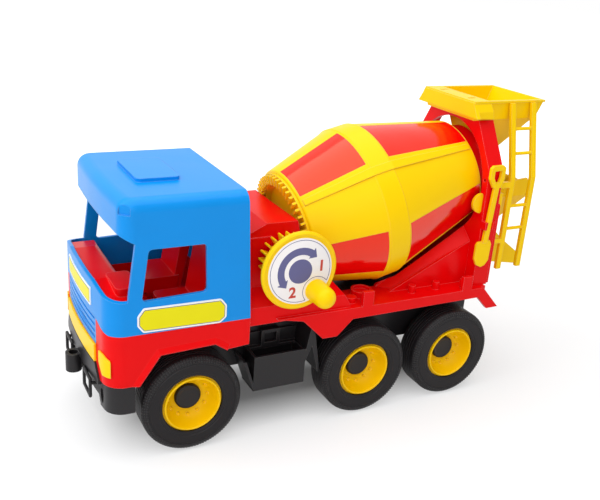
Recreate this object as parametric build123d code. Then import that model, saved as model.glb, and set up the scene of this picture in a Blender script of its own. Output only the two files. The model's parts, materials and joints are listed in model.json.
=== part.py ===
"""Toy cement mixer truck, modelled as its separate moulded pieces.

Millimetres. +X points to the rear of the truck, -Y is its left side and +Z is up. The origin
lies on the floor, in the mid-plane, straight under the front axle.
"""
from build123d import *
import math
import os

os.makedirs("parts", exist_ok=True)

# ---- driving dimensions ------------------------------------------------------------------
# Wheels and axles
WHEEL_R = 35.0            # outer radius of a tyre
TYRE_W = 23.0             # width of a tyre
WHEEL_FACE = 59.2         # mid-plane to the outer face of a tyre
RIM_R = 21.0              # barrel of a rim, which the tyre is stretched over
RIM_LIP_R = 18.5          # inside of its rolled lip
RIM_EDGE_R = 19.8         # outside of the lip, with a groove between it and the tyre
RIM_GROOVE = 2.4          # depth of that groove
RIM_LIP_PROUD = 0.3       # how far the lip stays behind the tyre's face
HUB_DEPTH = 13.2          # tyre face to the bottom of the dish
HUB_CAP_R = 9.3
HUB_CAP_T = 2.9
AXLE_R = 2.5
AXLE_X = (0.0, 133.5, 211.8)
AXLE_NAMES = ("front", "middle", "rear")
AXLE_CLEARANCE = 0.05     # radial, a running fit in the chassis
WHEEL_SIDE_PLAY = 0.5     # between a hub and its bearing boss

# Chassis
CHASSIS_HALF = 33.0       # half width
CHASSIS_WALL = 3.0
FRONT_DECK_Z = 64.0       # top of the low part of the chassis, under the cab
REAR_DECK_Z = 84.0        # top of the high part, under the mixer deck
CHASSIS_SKIRT_Z = 44.0    # lower edge of the side walls between axles
CHASSIS_FRONT_X = -45.0
CHASSIS_STEP_X = 42.0     # where the low part ends and the high part begins
CHASSIS_REAR_X = 240.0
HANGER_HALF = 10.0        # half length of an axle hanger
BOSS_R = 6.0              # bearing boss round an axle
BOSS_LENGTH = WHEEL_FACE - TYRE_W - CHASSIS_HALF + 1.0

# Cab
CAB_HALF = 59.0
CAB_FRONT_X = -60.5       # front face, at the mid-plane
CAB_CORNER_X = -56.0      # where the bowed front would meet the side
CAB_CORNER_R = 13.0
CAB_REAR_X = 38.3
CAB_REAR_TOP_X = 33.5
CAB_WALL = 2.5
CAB_BOTTOM_Z = 57.0
CAB_FLOOR_Z = 80.0        # underside of the cab floor
CAB_FLOOR_T = 2.5
CAB_TOP_Z = 180.4
ROOF_EDGE_R = 8.0         # round the front and sides of the roof
VISOR_FRONT_X = -50.2     # the visor's bowed front, at the mid-plane
VISOR_CORNER_X = -47.6
VISOR_CORNER_R = 10.0
VISOR_FACET_DEPTH = 1.6   # small flat recess in each corner of the visor
VISOR_FACET_W = 8.0
VISOR_FACET_Z = (171.0, 177.0)
VISOR_TIP_Z = 158.0
COLOUR_LINE_Z = 93.0      # where the blue moulding meets the red one
CORNER_LINE_Z = 98.3      # the same line beside the grille
GRILLE_HALF = 38.0
GRILLE_BOTTOM_Z = 80.2
BAR_BOTTOM_Z = 67.8       # lower edge of the bar under the grille
BAR_PROUD = 1.4
BELT_Z = 122.5            # lower edge of the windscreen, at the mid-plane
BELT_SIDE_Z = 114.0       # and at the sides
HATCH_T = 2.4

# Bumper
BUMPER_BOTTOM_Z = 37.0    # lower edge of its corner blocks
BUMPER_MID_BOTTOM_Z = 43.5
BUMPER_MID_Z = 66.8       # its raised middle
BUMPER_BLOCK_Y = 41.0     # where the corner blocks begin
BUMPER_INSET = 1.0        # how far it lies inside the cab's plan
BUMPER_END_X = -39.0
BUMPER_WALL = 3.0
LAMP_Y = 44.0             # oval lamp recesses in the corner blocks
LAMP_Z = 45.6
GUARD_X = -62.4           # the two thin loops in front of it
GUARD_Y = (18.0, 35.0)
GUARD_Z = (41.2, 53.6)
GUARD_R = 1.1
TOW_R = 5.4               # upright tube of the tow hitch
TOW_BORE_R = 3.2
TOW_X = -65.4
TOW_BOTTOM_Z = 43.2
TOW_TOP_Z = 56.4

# Drum
DRUM_TILT = 14.2          # degrees, axis rising towards the rear
DRUM_X = 149.6            # middle of the belt
DRUM_Z = 145.6
BELT_R = 58.6
BELT_HALF_W = 8.3
BELT_PROUD = 0.6
DRUM_FRONT_S = -60.0      # places along the axis, from the middle of the belt
DRUM_FRONT_R = 43.1
DRUM_FRONT_ROUND = 2.0
DRUM_REAR_S = 85.0
DRUM_REAR_R = 39.4
DRUM_WALL = 2.4
DRUM_ROOM = 2.4           # kept free all round the turning drum
DRUM_END_T = 2.2
SEAM_ANGLE = 40.0         # degrees from the left side towards the top
RIB_ANGLE = 6.0
RIB_PROUD = 1.3
PANEL_START = 50.0
PANEL_ANGLE = 40.0
PANEL_PITCH = 90.0
PANEL_T = 0.5
PANEL_FIT = 0.1           # depth left over each panel in its recess
MOUTH_R = 32.0            # hole in the rear end of the drum
MOUTH_CLEARANCE = 0.07
JOURNAL_R = 6.0
JOURNAL_CLEARANCE = 0.06
JOURNAL_END_S = -77.0

# Gearing: a ring of teeth on the drum's front face and a wheel of pegs behind the crank
RING_TEETH = 50
PEGS = 20
RING_INNER_R = 34.0
RING_OUTER_R = 41.0
RING_BASE_S = -61.6
RING_TIP_S = -64.8
RING_DISH = 3.0           # depth of the dished middle
TOOTH_W = 1.7
PEG_TIP_R = 18.9
PEG_W = 1.6
PEG_Y = (39.6, 47.0)      # mid-plane to the inner and outer ends of the pegs
PEG_HUB_R = 12.5

# Crank
CRANK_R = 27.4
CRANK_FACE_Y = 66.0       # mid-plane to its outer face
CRANK_T = 3.6
CRANK_SHAFT_R = 4.0
CRANK_CLEARANCE = 0.06
CRANK_SHAFT_IN_Y = 12.0   # inner end of the shaft
CRANK_S = -82.8           # its centre, along the drum axis
LABEL_R = 24.4
LABEL_T = 0.5
KNOB_R = 7.9              # at its foot
KNOB_END_R = 7.3
KNOB_DOME = 6.5
KNOB_LENGTH = 20.5
KNOB_ARM = 19.5           # crank centre to knob centre
KNOB_ANGLE = -50.0        # degrees from +X towards +Z
KNOB_SPIGOT_R = 4.0
KNOB_FOOT_CLEARANCE = 0.05

# Mixer deck
DECK_T = 3.0
DECK_FRONT_X = 39.3
DECK_HALF = 54.0
SKIRT_HALF = 57.0
SKIRT_BOTTOM_Z = 78.5
DECK_REAR_X = 240.0
DECK_SLOT_HALF = 27.0
CRADLE_Y = (28.0, 40.5)   # mid-plane to the ridge and the foot of the wall under the drum
CRADLE_START_X = 155.0
CRADLE_TOP_Z = 131.5      # its ridge at the rear frame
CRADLE_DROP = 11.0        # ridge down to the edge of the upright part
CRADLE_WALL = 2.5
CRADLE_FIN = 10.0         # how far the ridge is carried up under the drum, before the drum's room is cut
SUPPORT_HALF = 36.0       # the box that carries the front of the drum
SUPPORT_TOP_Z = 149.4
SUPPORT_WALL = 3.0
SUPPORT_SLOPE_X = 57.5    # in front of this its top slopes down towards the cab
SUPPORT_SLOPE_DROP = 8.5
SUPPORT_LEDGE_X = 61.4    # the thicker lower part of its side walls
SUPPORT_LEDGE_Z = 140.2
SUPPORT_LEDGE_T = 1.0
SUPPORT_GAP = 0.9         # between its rear wall and the gear ring

# Rear frame
FRAME_X = 229.5
FRAME_DEPTH = 13.5
FRAME_TOP_Z = 212.0
FRAME_SHOULDER_Z = 178.0
FRAME_FOOT_HALF = 51.0
FRAME_SHOULDER_HALF = FRAME_FOOT_HALF - 1.0
FRAME_TOP_HALF = FRAME_FOOT_HALF - 21.0
FRAME_BACK_X = FRAME_X + FRAME_DEPTH
FRAME_WALL = 3.0
ARCH_R = 42.9
ARCH_Z = 166.1
WEB_T = 3.5

# Hopper, collector, chute, ladder, shovel
HOPPER_X0, HOPPER_X1 = FRAME_X - 5.9, FRAME_X + 60.2
HOPPER_HALF = 30.3
HOPPER_TOP_Z = 226.5
HOPPER_WALL = 2.0
HOPPER_RIM_T = 1.6
HOPPER_LEDGE = 13.4       # the covered part behind its front edge
LADDER_X = (FRAME_X + 28.0, FRAME_X + 48.0)
LADDER_RAIL_W = 4.4
LADDER_RAIL_T = 3.0
LADDER_BEND_Z = 170.0
LADDER_BOTTOM_Z = 96.0
LADDER_Y = 46.0
RUNG_Z = (206.0, 188.0, 147.5, 129.0)
RUNG_R = 1.3
COLLECTOR_REAR_X = FRAME_X + 61.5
COLLECTOR_HALF = 30.0
COLLECTOR_TOP_Z = 164.0
SWIVEL_X = FRAME_X + 33.5  # upright axis of the chute
SPOUT_R = 13.0
SPOUT_BORE_R = 11.0
SPOUT_CLEARANCE = 0.08
CHUTE_RING_Z = (119.0, 125.0)
CHUTE_END_X = SWIVEL_X + 40.0
CHUTE_HALF = 15.5
CHUTE_WALL = 1.8
SHOVEL_T = 2.0
SHOVEL_GAP = 0.3
SHOVEL_X = FRAME_X + 6.0

GAP = 0.3                 # pieces that pass each other


# ---- helpers -------------------------------------------------------------------------------
def box(x0, x1, y0, y1, z0, z1):
    return Pos((x0 + x1) / 2, (y0 + y1) / 2, (z0 + z1) / 2) * Box(x1 - x0, y1 - y0, z1 - z0)


def prism_xz(points, y0, y1):
    """A side-view outline, from y0 to y1."""
    face = Plane.XZ.offset(-y1) * Polygon(*points, align=None)
    return extrude(face, amount=y1 - y0, dir=(0, -1, 0))


def prism_yz(points, x0, x1):
    """A front-view outline, from x0 to x1."""
    face = Plane.YZ.offset(x0) * Polygon(*points, align=None)
    return extrude(face, amount=x1 - x0, dir=(1, 0, 0))


def rod(start, end, radius):
    """A round bar from one point to another."""
    line = Vector(*end) - Vector(*start)
    plane = Plane(origin=start, z_dir=line)
    return extrude(plane * Circle(radius), amount=line.length)


def turned(profile, origin, radial, along):
    """A full turn of a (radius, place along the axis) outline."""
    radial, along = Vector(*radial), Vector(*along)
    plane = Plane(origin=origin, x_dir=radial, z_dir=radial.cross(along))
    face = plane * Polygon(*profile, align=None)
    return revolve(face, Axis(origin, along), 360)


def both_sides(piece):
    """The piece and its mirror image, as one solid or two."""
    return piece + mirror(piece, Plane.XZ)


def mirrored(piece, side):
    """The piece as drawn for the left side (-1), or its mirror image for the right (+1)."""
    return piece if side < 0 else mirror(piece, Plane.XZ)


def save(name, piece):
    export_step(piece, f"parts/{name}.step")
    print(name, round(piece.volume))


# ---- wheels --------------------------------------------------------------------------------
def tyre(x, side):
    outer, inner = WHEEL_FACE, WHEEL_FACE - TYRE_W
    shoulder = 3.2
    groove_w, groove_d, grooves = 0.9, 0.8, 5
    pitch = (TYRE_W - 2 * shoulder) / (grooves + 1)
    tread = []
    for i in range(grooves):
        middle = outer - shoulder - pitch * (i + 1)
        tread += [(WHEEL_R, middle + groove_w / 2), (WHEEL_R - groove_d, middle + groove_w / 2),
                  (WHEEL_R - groove_d, middle - groove_w / 2), (WHEEL_R, middle - groove_w / 2)]
    profile = [(RIM_R, outer - 1.1), (RIM_R + 1.2, outer - 0.5), (RIM_R + 4.0, outer),
               (WHEEL_R - shoulder, outer), (WHEEL_R - 1.2, outer - 1.0),
               (WHEEL_R - 0.2, outer - shoulder), (WHEEL_R, outer - shoulder - 0.6)]
    profile += tread
    profile += [(WHEEL_R, inner + shoulder), (WHEEL_R - 1.2, inner + 1.0),
                (WHEEL_R - shoulder, inner), (RIM_R, inner + 1.0)]
    return turned(profile, (x, 0, WHEEL_R), (1, 0, 0), (0, side, 0))


def rim(x, side):
    lip = WHEEL_FACE - RIM_LIP_PROUD
    bottom = WHEEL_FACE - HUB_DEPTH
    inner = CHASSIS_HALF + BOSS_LENGTH + WHEEL_SIDE_PLAY
    profile = [(AXLE_R, bottom), (HUB_CAP_R + 1.2, bottom), (HUB_CAP_R + 3.6, bottom + 1.0),
               (RIM_LIP_R - 3.2, bottom + 5.2), (RIM_LIP_R - 0.9, bottom + 10.6),
               (RIM_LIP_R - 0.4, lip - 0.6), (RIM_LIP_R, lip),
               (RIM_EDGE_R, lip), (RIM_EDGE_R, lip - RIM_GROOVE), (RIM_R, lip - RIM_GROOVE),
               (RIM_R, WHEEL_FACE - TYRE_W + 1.4), (RIM_R - 1.6, WHEEL_FACE - TYRE_W + 1.4),
               (RIM_R - 1.8, bottom + 4.0), (RIM_R - 5.4, bottom), (HUB_CAP_R + 2.0, bottom - 1.8),
               (HUB_CAP_R - 2.3, bottom - 1.8), (HUB_CAP_R - 2.3, inner), (AXLE_R, inner)]
    return turned(profile, (x, 0, WHEEL_R), (1, 0, 0), (0, side, 0))


def hub_cap(x, side):
    bottom = WHEEL_FACE - HUB_DEPTH
    face = bottom + HUB_CAP_T
    profile = [(AXLE_R, bottom), (HUB_CAP_R, bottom), (HUB_CAP_R, face - 0.7), (HUB_CAP_R - 0.7, face),
               (0, face), (0, bottom + HUB_CAP_T / 2), (AXLE_R, bottom + HUB_CAP_T / 2)]
    return turned(profile, (x, 0, WHEEL_R), (1, 0, 0), (0, side, 0))


def axle(x):
    end = WHEEL_FACE - HUB_DEPTH + HUB_CAP_T / 2
    return rod((x, -end, WHEEL_R), (x, end, WHEEL_R), AXLE_R)


# ---- chassis -------------------------------------------------------------------------------
CAB_POSTS = [(x, y) for x in (-31.0, 29.0) for y in (-25.0, 25.0)]
DECK_SCREWS = [(x, y) for x in (60.0, 225.0) for y in (-22.0, 22.0)]
SCREW_R = 1.5
SCREW_HEAD_R = 2.8
SCREW_HEAD_T = 1.6


def chassis_frame():
    half, wall = CHASSIS_HALF, CHASSIS_WALL
    low = box(CHASSIS_FRONT_X, CHASSIS_STEP_X + wall, -half, half, CHASSIS_SKIRT_Z, FRONT_DECK_Z)
    low -= box(CHASSIS_FRONT_X + wall, CHASSIS_STEP_X, -half + wall, half - wall,
               CHASSIS_SKIRT_Z - 1, FRONT_DECK_Z - wall)
    high = box(CHASSIS_STEP_X, CHASSIS_REAR_X, -half, half, CHASSIS_SKIRT_Z, REAR_DECK_Z)
    high -= box(CHASSIS_STEP_X + wall, CHASSIS_REAR_X - wall, -half + wall, half - wall,
                CHASSIS_SKIRT_Z - 1, REAR_DECK_Z - wall)
    frame = low + high
    for x in AXLE_X:
        low_z = WHEEL_R - HANGER_HALF
        hanger = [(x - HANGER_HALF - 8, CHASSIS_SKIRT_Z), (x - HANGER_HALF + 2, low_z),
                  (x + HANGER_HALF - 2, low_z), (x + HANGER_HALF + 8, CHASSIS_SKIRT_Z)]
        frame += both_sides(prism_xz(hanger, half - wall, half))
        frame += both_sides(rod((x, half, WHEEL_R), (x, half + BOSS_LENGTH, WHEEL_R), BOSS_R))
        frame -= rod((x, -WHEEL_FACE, WHEEL_R), (x, WHEEL_FACE, WHEEL_R), AXLE_R + AXLE_CLEARANCE)
    for x, y in CAB_POSTS:
        frame += rod((x, y, FRONT_DECK_Z - wall), (x, y, CAB_FLOOR_Z), 4.5)
        frame -= rod((x, y, FRONT_DECK_Z - wall - 1), (x, y, CAB_FLOOR_Z + 1), SCREW_R)
    for x, y in DECK_SCREWS:
        frame -= rod((x, y, REAR_DECK_Z - wall - 1), (x, y, REAR_DECK_Z + 1), SCREW_R)
    return frame - drum_envelope()


def screws(places, under_z, tip_z):
    group = None
    for x, y in places:
        one = rod((x, y, under_z - SCREW_HEAD_T), (x, y, under_z), SCREW_HEAD_R)
        one -= box(x - 2.0, x + 2.0, y - 0.4, y + 0.4, under_z - SCREW_HEAD_T - 1, under_z - 0.8)
        one += rod((x, y, under_z - 0.1), (x, y, tip_z), SCREW_R)
        group = one if group is None else group + one
    return group


BIN_X0, BIN_X1 = 46.0, 85.5
BIN_OUTER_Y = 53.0
BIN_BOTTOM_Z = 32.0
BIN_RIM_Z = 58.5
BIN_BACK_Z = 68.5
BIN_WALL = 2.0
BIN_LEDGE_Y = 38.6        # mid-plane to the front edge of the ledge along its back
LOOP_X0, LOOP_X1 = 57.0, 71.2
LOOP_TOP_Z = 70.6
LOOP_BAR = 2.4


def side_bin(side):
    """Open-topped box hung on the chassis, with a step loop and two mudguard plates."""
    inner = -CHASSIS_HALF
    piece = box(BIN_X0, BIN_X1, -BIN_OUTER_Y, inner, BIN_BOTTOM_Z, BIN_RIM_Z)
    for y, top in ((inner - BIN_WALL, BIN_RIM_Z - BIN_WALL), (-BIN_LEDGE_Y, BIN_RIM_Z + 1)):
        piece -= box(BIN_X0 + BIN_WALL, BIN_X1 - BIN_WALL, -BIN_OUTER_Y + BIN_WALL, y,
                     BIN_BOTTOM_Z + BIN_WALL, top)
    piece += box(BIN_X0, BIN_X1, inner - BIN_WALL, inner, BIN_RIM_Z - 1, BIN_BACK_Z)
    bar = LOOP_BAR
    loop = box(LOOP_X0, LOOP_X1, -BIN_LEDGE_Y, inner, BIN_RIM_Z - 0.5, LOOP_TOP_Z)
    loop -= box(LOOP_X0 + bar, LOOP_X1 - bar, -BIN_LEDGE_Y - 1, inner + 1, BIN_RIM_Z + bar, LOOP_TOP_Z - bar)
    loop -= box(LOOP_X0 - 1, LOOP_X1 + 1, -BIN_LEDGE_Y + bar, inner - BIN_WALL, BIN_RIM_Z, LOOP_TOP_Z - bar)
    piece += loop
    front = [(BIN_X0 + 0.5, BIN_BOTTOM_Z), (BIN_X0 + 2.0, BIN_BOTTOM_Z), (40.0, 56.0), (38.0, 56.0)]
    piece += prism_xz(front, -BIN_OUTER_Y, inner)
    rear = [(BIN_X1 - 1.5, BIN_RIM_Z - 10.0), (89.0, 76.0), (91.0, 76.0), (98.0, 38.0), (96.4, 38.0),
            (90.4, 60.0), (BIN_X1 - 1.5, BIN_RIM_Z - 14.0)]
    piece += prism_xz(rear, -BIN_OUTER_Y, inner)
    return mirrored(piece, side)


# ---- cab -----------------------------------------------------------------------------------
def cab_plan(inset, z0, z1, front=CAB_FRONT_X, corner=CAB_CORNER_X, corner_r=CAB_CORNER_R):
    """The cab's plan with its bowed front, pulled in by inset, from z0 to z1."""
    half, corner = CAB_HALF - inset, corner + inset
    rear = CAB_REAR_X + 2.0 - inset
    bow = ThreePointArc((corner, -half), (front + inset, 0), (corner, half))
    rest = Polyline((corner, half), (rear, half), (rear, -half), (corner, -half))
    face = Plane.XY.offset(z0) * make_face([bow, rest])
    block = extrude(face, amount=z1 - z0, dir=(0, 0, 1))
    corners = block.edges().filter_by(Axis.Z).sort_by(Axis.X)[:2]
    return fillet(corners, corner_r - inset)


def cab_block(inset):
    """The whole outside of the cab, or the hollow in it when inset by the wall."""
    top, split, rear = CAB_TOP_Z - inset, VISOR_TIP_Z - 5, CAB_REAR_X - inset
    low = cab_plan(inset, CAB_BOTTOM_Z - 30, split)
    high = cab_plan(inset, split, top, VISOR_FRONT_X, VISOR_CORNER_X, VISOR_CORNER_R)
    side = [(rear, CAB_BOTTOM_Z - 30), (rear, COLOUR_LINE_Z), (CAB_REAR_TOP_X - inset, top),
            (CAB_FRONT_X - 9, top), (CAB_FRONT_X - 9, CAB_BOTTOM_Z - 30)]
    block = (low + high) & prism_xz(side, -CAB_HALF - 1, CAB_HALF + 1)
    rim = [e for e in block.edges() if e.center().Z > top - 0.1 and e.center().X < rear - 10]
    return fillet(rim, ROOF_EDGE_R - inset)


def visor_facet():
    """Cuts a small flat recess into the left corner of the visor."""
    low, high = VISOR_FACET_Z
    centre_x, centre_y = VISOR_CORNER_X + VISOR_CORNER_R - 0.8, -CAB_HALF + VISOR_CORNER_R
    reach = VISOR_CORNER_R - VISOR_FACET_DEPTH
    cutter = Pos(0, -reach - 3.0) * Box(VISOR_FACET_W, 6.0, high - low)
    return Pos(centre_x, centre_y, (low + high) / 2) * Rot(0, 0, -45) * cutter


def above_colour_line():
    """Where the cab is moulded in blue: above the line, with a tongue that holds the grille."""
    shape = [(-70, COLOUR_LINE_Z), (-54, COLOUR_LINE_Z), (-GRILLE_HALF, CORNER_LINE_Z),
             (-GRILLE_HALF, GRILLE_BOTTOM_Z), (GRILLE_HALF, GRILLE_BOTTOM_Z),
             (GRILLE_HALF, CORNER_LINE_Z), (54, COLOUR_LINE_Z), (70, COLOUR_LINE_Z), (70, 200), (-70, 200)]
    front = prism_yz(shape, CAB_FRONT_X - 20, -45)
    return front + box(-45, CAB_REAR_X + 5, -70, 70, COLOUR_LINE_Z, 200)


def windscreen():
    side = [(-75, 105), (-44.6, 105), (-43.6, 117.5), (-39.2, 153.0), (-49.0, VISOR_TIP_Z + 0.5),
            (-75, VISOR_TIP_Z + 0.5)]
    front = [(-65, BELT_SIDE_Z), (-52, BELT_SIDE_Z + 3.5), (-30, BELT_Z - 1.0), (0, BELT_Z),
             (30, BELT_Z - 1.0), (52, BELT_SIDE_Z + 3.5), (65, BELT_SIDE_Z), (65, 175), (-65, 175)]
    return prism_xz(side, -70, 70) & prism_yz(front, -80, -30)


def side_windows():
    corners = [(-30.8, 149.0), (6.1, 149.0), (7.4, 116.5), (-35.2, 115.0)]
    opening = prism_xz(corners, -70, 70)
    return fillet(opening.edges().filter_by(Axis.Y), 2.6)


def rear_window():
    return fillet(box(20, 50, -30, 30, 118, 150).edges().filter_by(Axis.X), 4.0)


def cab_shell():
    shell = (cab_block(0) - cab_block(CAB_WALL)) & above_colour_line()
    shell = shell - windscreen() - side_windows() - rear_window()
    hatch = fillet(box(-28.2, 0.6, -24.0, 24.0, CAB_TOP_Z - 1, CAB_TOP_Z + HATCH_T)
                   .edges().filter_by(Axis.Z), 3.5)
    shell = shell + hatch - both_sides(visor_facet())
    for i in range(4):
        z = GRILLE_BOTTOM_Z + 3.0 + 4.4 * i
        groove = cab_plan(-5, z, z + 1.8) - cab_plan(0.9, z - 1, z + 3)
        shell -= groove & box(-70, -50, -GRILLE_HALF + 2, GRILLE_HALF - 2, z - 1, z + 3)
    return shell


ARCH = [(-38.7, 54.0), (-23.1, 76.9), (13.5, 78.4), (22.2, 72.5)]
ARCH_MITRES = [(-0.83, 0.56), (-0.54, 0.98), (0.29, 1.01), (0.56, 0.83)]   # outward, per mm of width
FLARE_W = 4.2             # width of the sloped flare round the arch
FLARE_EDGE = 0.9          # what is left of it at its outer edge
FLARE_PROUD = 1.5


def arch_band(width):
    """Outline of a band of this width along the upper side of the arch."""
    return ARCH + [(x + width * dx, z + width * dz)
                   for (x, z), (dx, dz) in zip(ARCH[::-1], ARCH_MITRES[::-1])]


def cab_lower():
    """Red lower half of the cab, with its floor and the wheel arches."""
    outer = cab_plan(0, CAB_BOTTOM_Z, CORNER_LINE_Z + 2) & box(-70, CAB_REAR_X, -70, 70, 0, 200)
    inner = cab_plan(CAB_WALL, CAB_BOTTOM_Z - 1, CORNER_LINE_Z + 3) & box(
        -70, CAB_REAR_X - CAB_WALL, -70, 70, 0, 200)
    lower = (outer - inner) - above_colour_line()
    floor = cab_plan(CAB_WALL, CAB_FLOOR_Z, CAB_FLOOR_Z + CAB_FLOOR_T)
    lower += floor & box(-70, CAB_REAR_X - CAB_WALL, -70, 70, 0, 200)
    under = ARCH + [(CAB_REAR_X + 5, 74.1), (CAB_REAR_X + 5, 30), (-38.7, 30)]
    lower -= prism_xz(under, -70, 70)
    bands = [Plane.XZ.offset(y) * Polygon(*arch_band(width), align=None)
             for y, width in ((CAB_HALF, FLARE_W), (CAB_HALF + FLARE_PROUD, FLARE_EDGE))]
    flare = loft(bands, ruled=True) + prism_xz(arch_band(FLARE_W), -CAB_HALF, -CAB_HALF + CAB_WALL)
    lower += both_sides(flare & box(-60, 60, -70, 0, CAB_BOTTOM_Z, 200))
    for x, y in CAB_POSTS:
        lower += rod((x, y, CAB_FLOOR_Z), (x, y, CAB_FLOOR_Z + 5.5), 4.5)
        lower -= rod((x, y, CAB_FLOOR_Z - 1), (x, y, CAB_FLOOR_Z + 4.0), SCREW_R)
    return lower


SEAT_Y = 27.0


def seat(side):
    base = box(-14, 14, -SEAT_Y - 17, -SEAT_Y + 17, CAB_FLOOR_Z + CAB_FLOOR_T + 5.5, 99)
    base = fillet(base.edges().filter_by(Axis.Z), 4.0)
    foot = box(-10, 10, -SEAT_Y - 12, -SEAT_Y + 12, CAB_FLOOR_Z + CAB_FLOOR_T, 90)
    back = prism_xz([(8, 90), (14, 90), (24, 138), (16, 138)], -SEAT_Y - 16, -SEAT_Y + 16)
    return mirrored(base + foot + back, side)


def dashboard():
    """Rounded shelf behind the windscreen, with a raised pod on the driver's side."""
    top = BELT_Z - 1.9
    profile = prism_xz([(-70, 98), (-41, 98), (-38.5, 104), (-38.5, top), (-70, top)], -54, 54)
    inner_edge = profile.edges().filter_by(Axis.Y).sort_by(lambda e: e.center().X + e.center().Z)[-1]
    shelf = cab_plan(CAB_WALL + GAP, 92, top) & fillet(inner_edge, 5.0)
    shelf &= prism_yz([(-56, 90), (56, 90), (56, top - 7.2), (48, top - 3.4), (28, top), (-28, top),
                       (-48, top - 3.4), (-56, top - 7.2)], -70, -30)
    shelf -= box(-70, -42.0, -50, 50, 90, 106)
    pod = fillet(box(-48.5, -33.5, -50, -22.5, 108, top + 1.0).edges().filter_by(Axis.Z), 3.0)
    legs = box(-42.5, -39.5, -52, -44, CAB_FLOOR_Z + CAB_FLOOR_T, 100)
    return shelf + pod + both_sides(legs)


def front_strip(proud, y0, y1, z0, z1, bite=0.0):
    """A piece that follows the cab's front face and stands proud of it."""
    strip = cab_plan(-proud, z0, z1) - cab_plan(bite, z0 - 1, z1 + 1)
    return strip & box(-80, -40, y0, y1, z0, z1)


def grille_bar():
    half = GRILLE_HALF - 0.4
    return front_strip(BAR_PROUD, -half, half, BAR_BOTTOM_Z, GRILLE_BOTTOM_Z - GAP)


def headlight(side):
    lamp = front_strip(1.0, -CAB_HALF - 2, -44.5, 64.0, 79.0)
    lamp &= box(-80, -54.2, -70, 0, 50, 90)
    upper = prism_yz([(-64, 90), (-64, 70), (-50, 79.0), (-50, 90)], -80, -40)
    lower = prism_yz([(-44, 60), (-44, 72.0), (-50, 63.9), (-50, 60)], -80, -40)
    return mirrored(lamp - upper - lower, side)


def front_plate():
    """Plain shield above the grille."""
    return front_strip(0.7, -30, 30, 104.0, 116.0)


def side_plate(side):
    """Plain lozenge plate under the side window."""
    y0, y1 = -CAB_HALF - 0.7, -CAB_HALF
    shape = [(-38.1, 99.2), (-38.1, 105.8), (-34.2, 111.0), (17.0, 110.4), (20.8, 105.6), (20.8, 97.0),
             (16.6, 93.4), (-34.4, 94.4)]
    plate = prism_xz(shape, y0, y1)
    return mirrored(fillet(plate.edges().filter_by(Axis.Y), 2.4), side)


def bumper_front(lift, step):
    """The bumper seen from the front: low corner blocks, higher between them."""
    low, mid = BUMPER_BOTTOM_Z + lift, BUMPER_MID_BOTTOM_Z + lift
    return prism_yz([(-70, low), (-step, low), (3 - step, mid), (step - 3, mid), (step, low), (70, low),
                     (70, 80), (-70, 80)], -80, -20)


def bumper():
    wall, inset = BUMPER_WALL, BUMPER_INSET
    outer = cab_plan(inset, 0, CAB_BOTTOM_Z) & bumper_front(0, BUMPER_BLOCK_Y)
    inner = cab_plan(wall + inset, 0, CAB_BOTTOM_Z + 1) & bumper_front(wall, BUMPER_BLOCK_Y + wall)
    piece = (outer - inner) & box(-80, BUMPER_END_X, -70, 70, 0, CAB_BOTTOM_Z)
    piece -= box(-45, -30, -CHASSIS_HALF - 3, CHASSIS_HALF + 3, 0, 80)
    mid = cab_plan(-BAR_PROUD, CAB_BOTTOM_Z - 1, BUMPER_MID_Z) - cab_plan(0, 0, 80)
    mid &= prism_yz([(-44, 50), (44, 50), (44, CAB_BOTTOM_Z), (38, BUMPER_MID_Z), (-38, BUMPER_MID_Z),
                     (-44, CAB_BOTTOM_Z)], -80, -40)
    lip = cab_plan(-BAR_PROUD, CAB_BOTTOM_Z - 3, CAB_BOTTOM_Z) - cab_plan(inset + 1, 0, 80)
    piece += mid + (lip & box(-80, -40, -44, 44, 0, 80))
    floor_z = BUMPER_MID_BOTTOM_Z + wall - 0.5
    piece += box(-48, CHASSIS_FRONT_X, -30, 30, floor_z, 56.0) + box(-60, -47, -3, 3, floor_z, 54.0)
    tube = rod((TOW_X, 0, TOW_BOTTOM_Z), (TOW_X, 0, TOW_TOP_Z), TOW_R)
    neck = box(TOW_X, CAB_FRONT_X + 2, -3.4, 3.4, TOW_BOTTOM_Z + 2, TOW_TOP_Z - 2)
    piece += tube + neck
    piece -= rod((TOW_X, 0, TOW_BOTTOM_Z - 1), (TOW_X, 0, TOW_TOP_Z + 1), TOW_BORE_R)
    for side in (-1, 1):
        lamp = Plane.YZ.offset(-70) * Pos(side * LAMP_Y, LAMP_Z) * Ellipse(2.8, 5.4)
        piece -= extrude(lamp, amount=70 + CAB_FRONT_X + 5.0)
    return piece


def bumper_guard(side):
    """Thin loop of bar that stands off the bumper."""
    x, bar = GUARD_X, GUARD_R
    y0, y1 = (side * y for y in GUARD_Y)
    z0, z1 = GUARD_Z
    loop = rod((x, y0, z0), (x, y0, z1), bar) + rod((x, y1, z0), (x, y1, z1), bar)
    for z in (z0, z1):
        loop += rod((x, y0, z), (x, y1, z), bar)
        for y in (y0, y1):
            loop += Pos(x, y, z) * Sphere(bar)
    for y in (y0, y1):
        loop += rod((x, y, z1 - 3), (CAB_FRONT_X + 6, y, z1 - 3), bar)
    return loop - cab_plan(BUMPER_INSET, 20, 80)


# ---- drum ----------------------------------------------------------------------------------
TILT = math.radians(DRUM_TILT)
ALONG = Vector(math.cos(TILT), 0, math.sin(TILT))
UP = Vector(-math.sin(TILT), 0, math.cos(TILT))
LEFT = Vector(0, -1, 0)
DRUM_CENTRE = Vector(DRUM_X, 0, DRUM_Z)


def on_axis(s):
    return DRUM_CENTRE + ALONG * s


def round_drum(profile):
    """A full turn about the drum's axis."""
    return turned(profile, DRUM_CENTRE, LEFT, ALONG)


def drum_rod(s0, s1, radius):
    return rod(on_axis(s0), on_axis(s1), radius)


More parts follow.
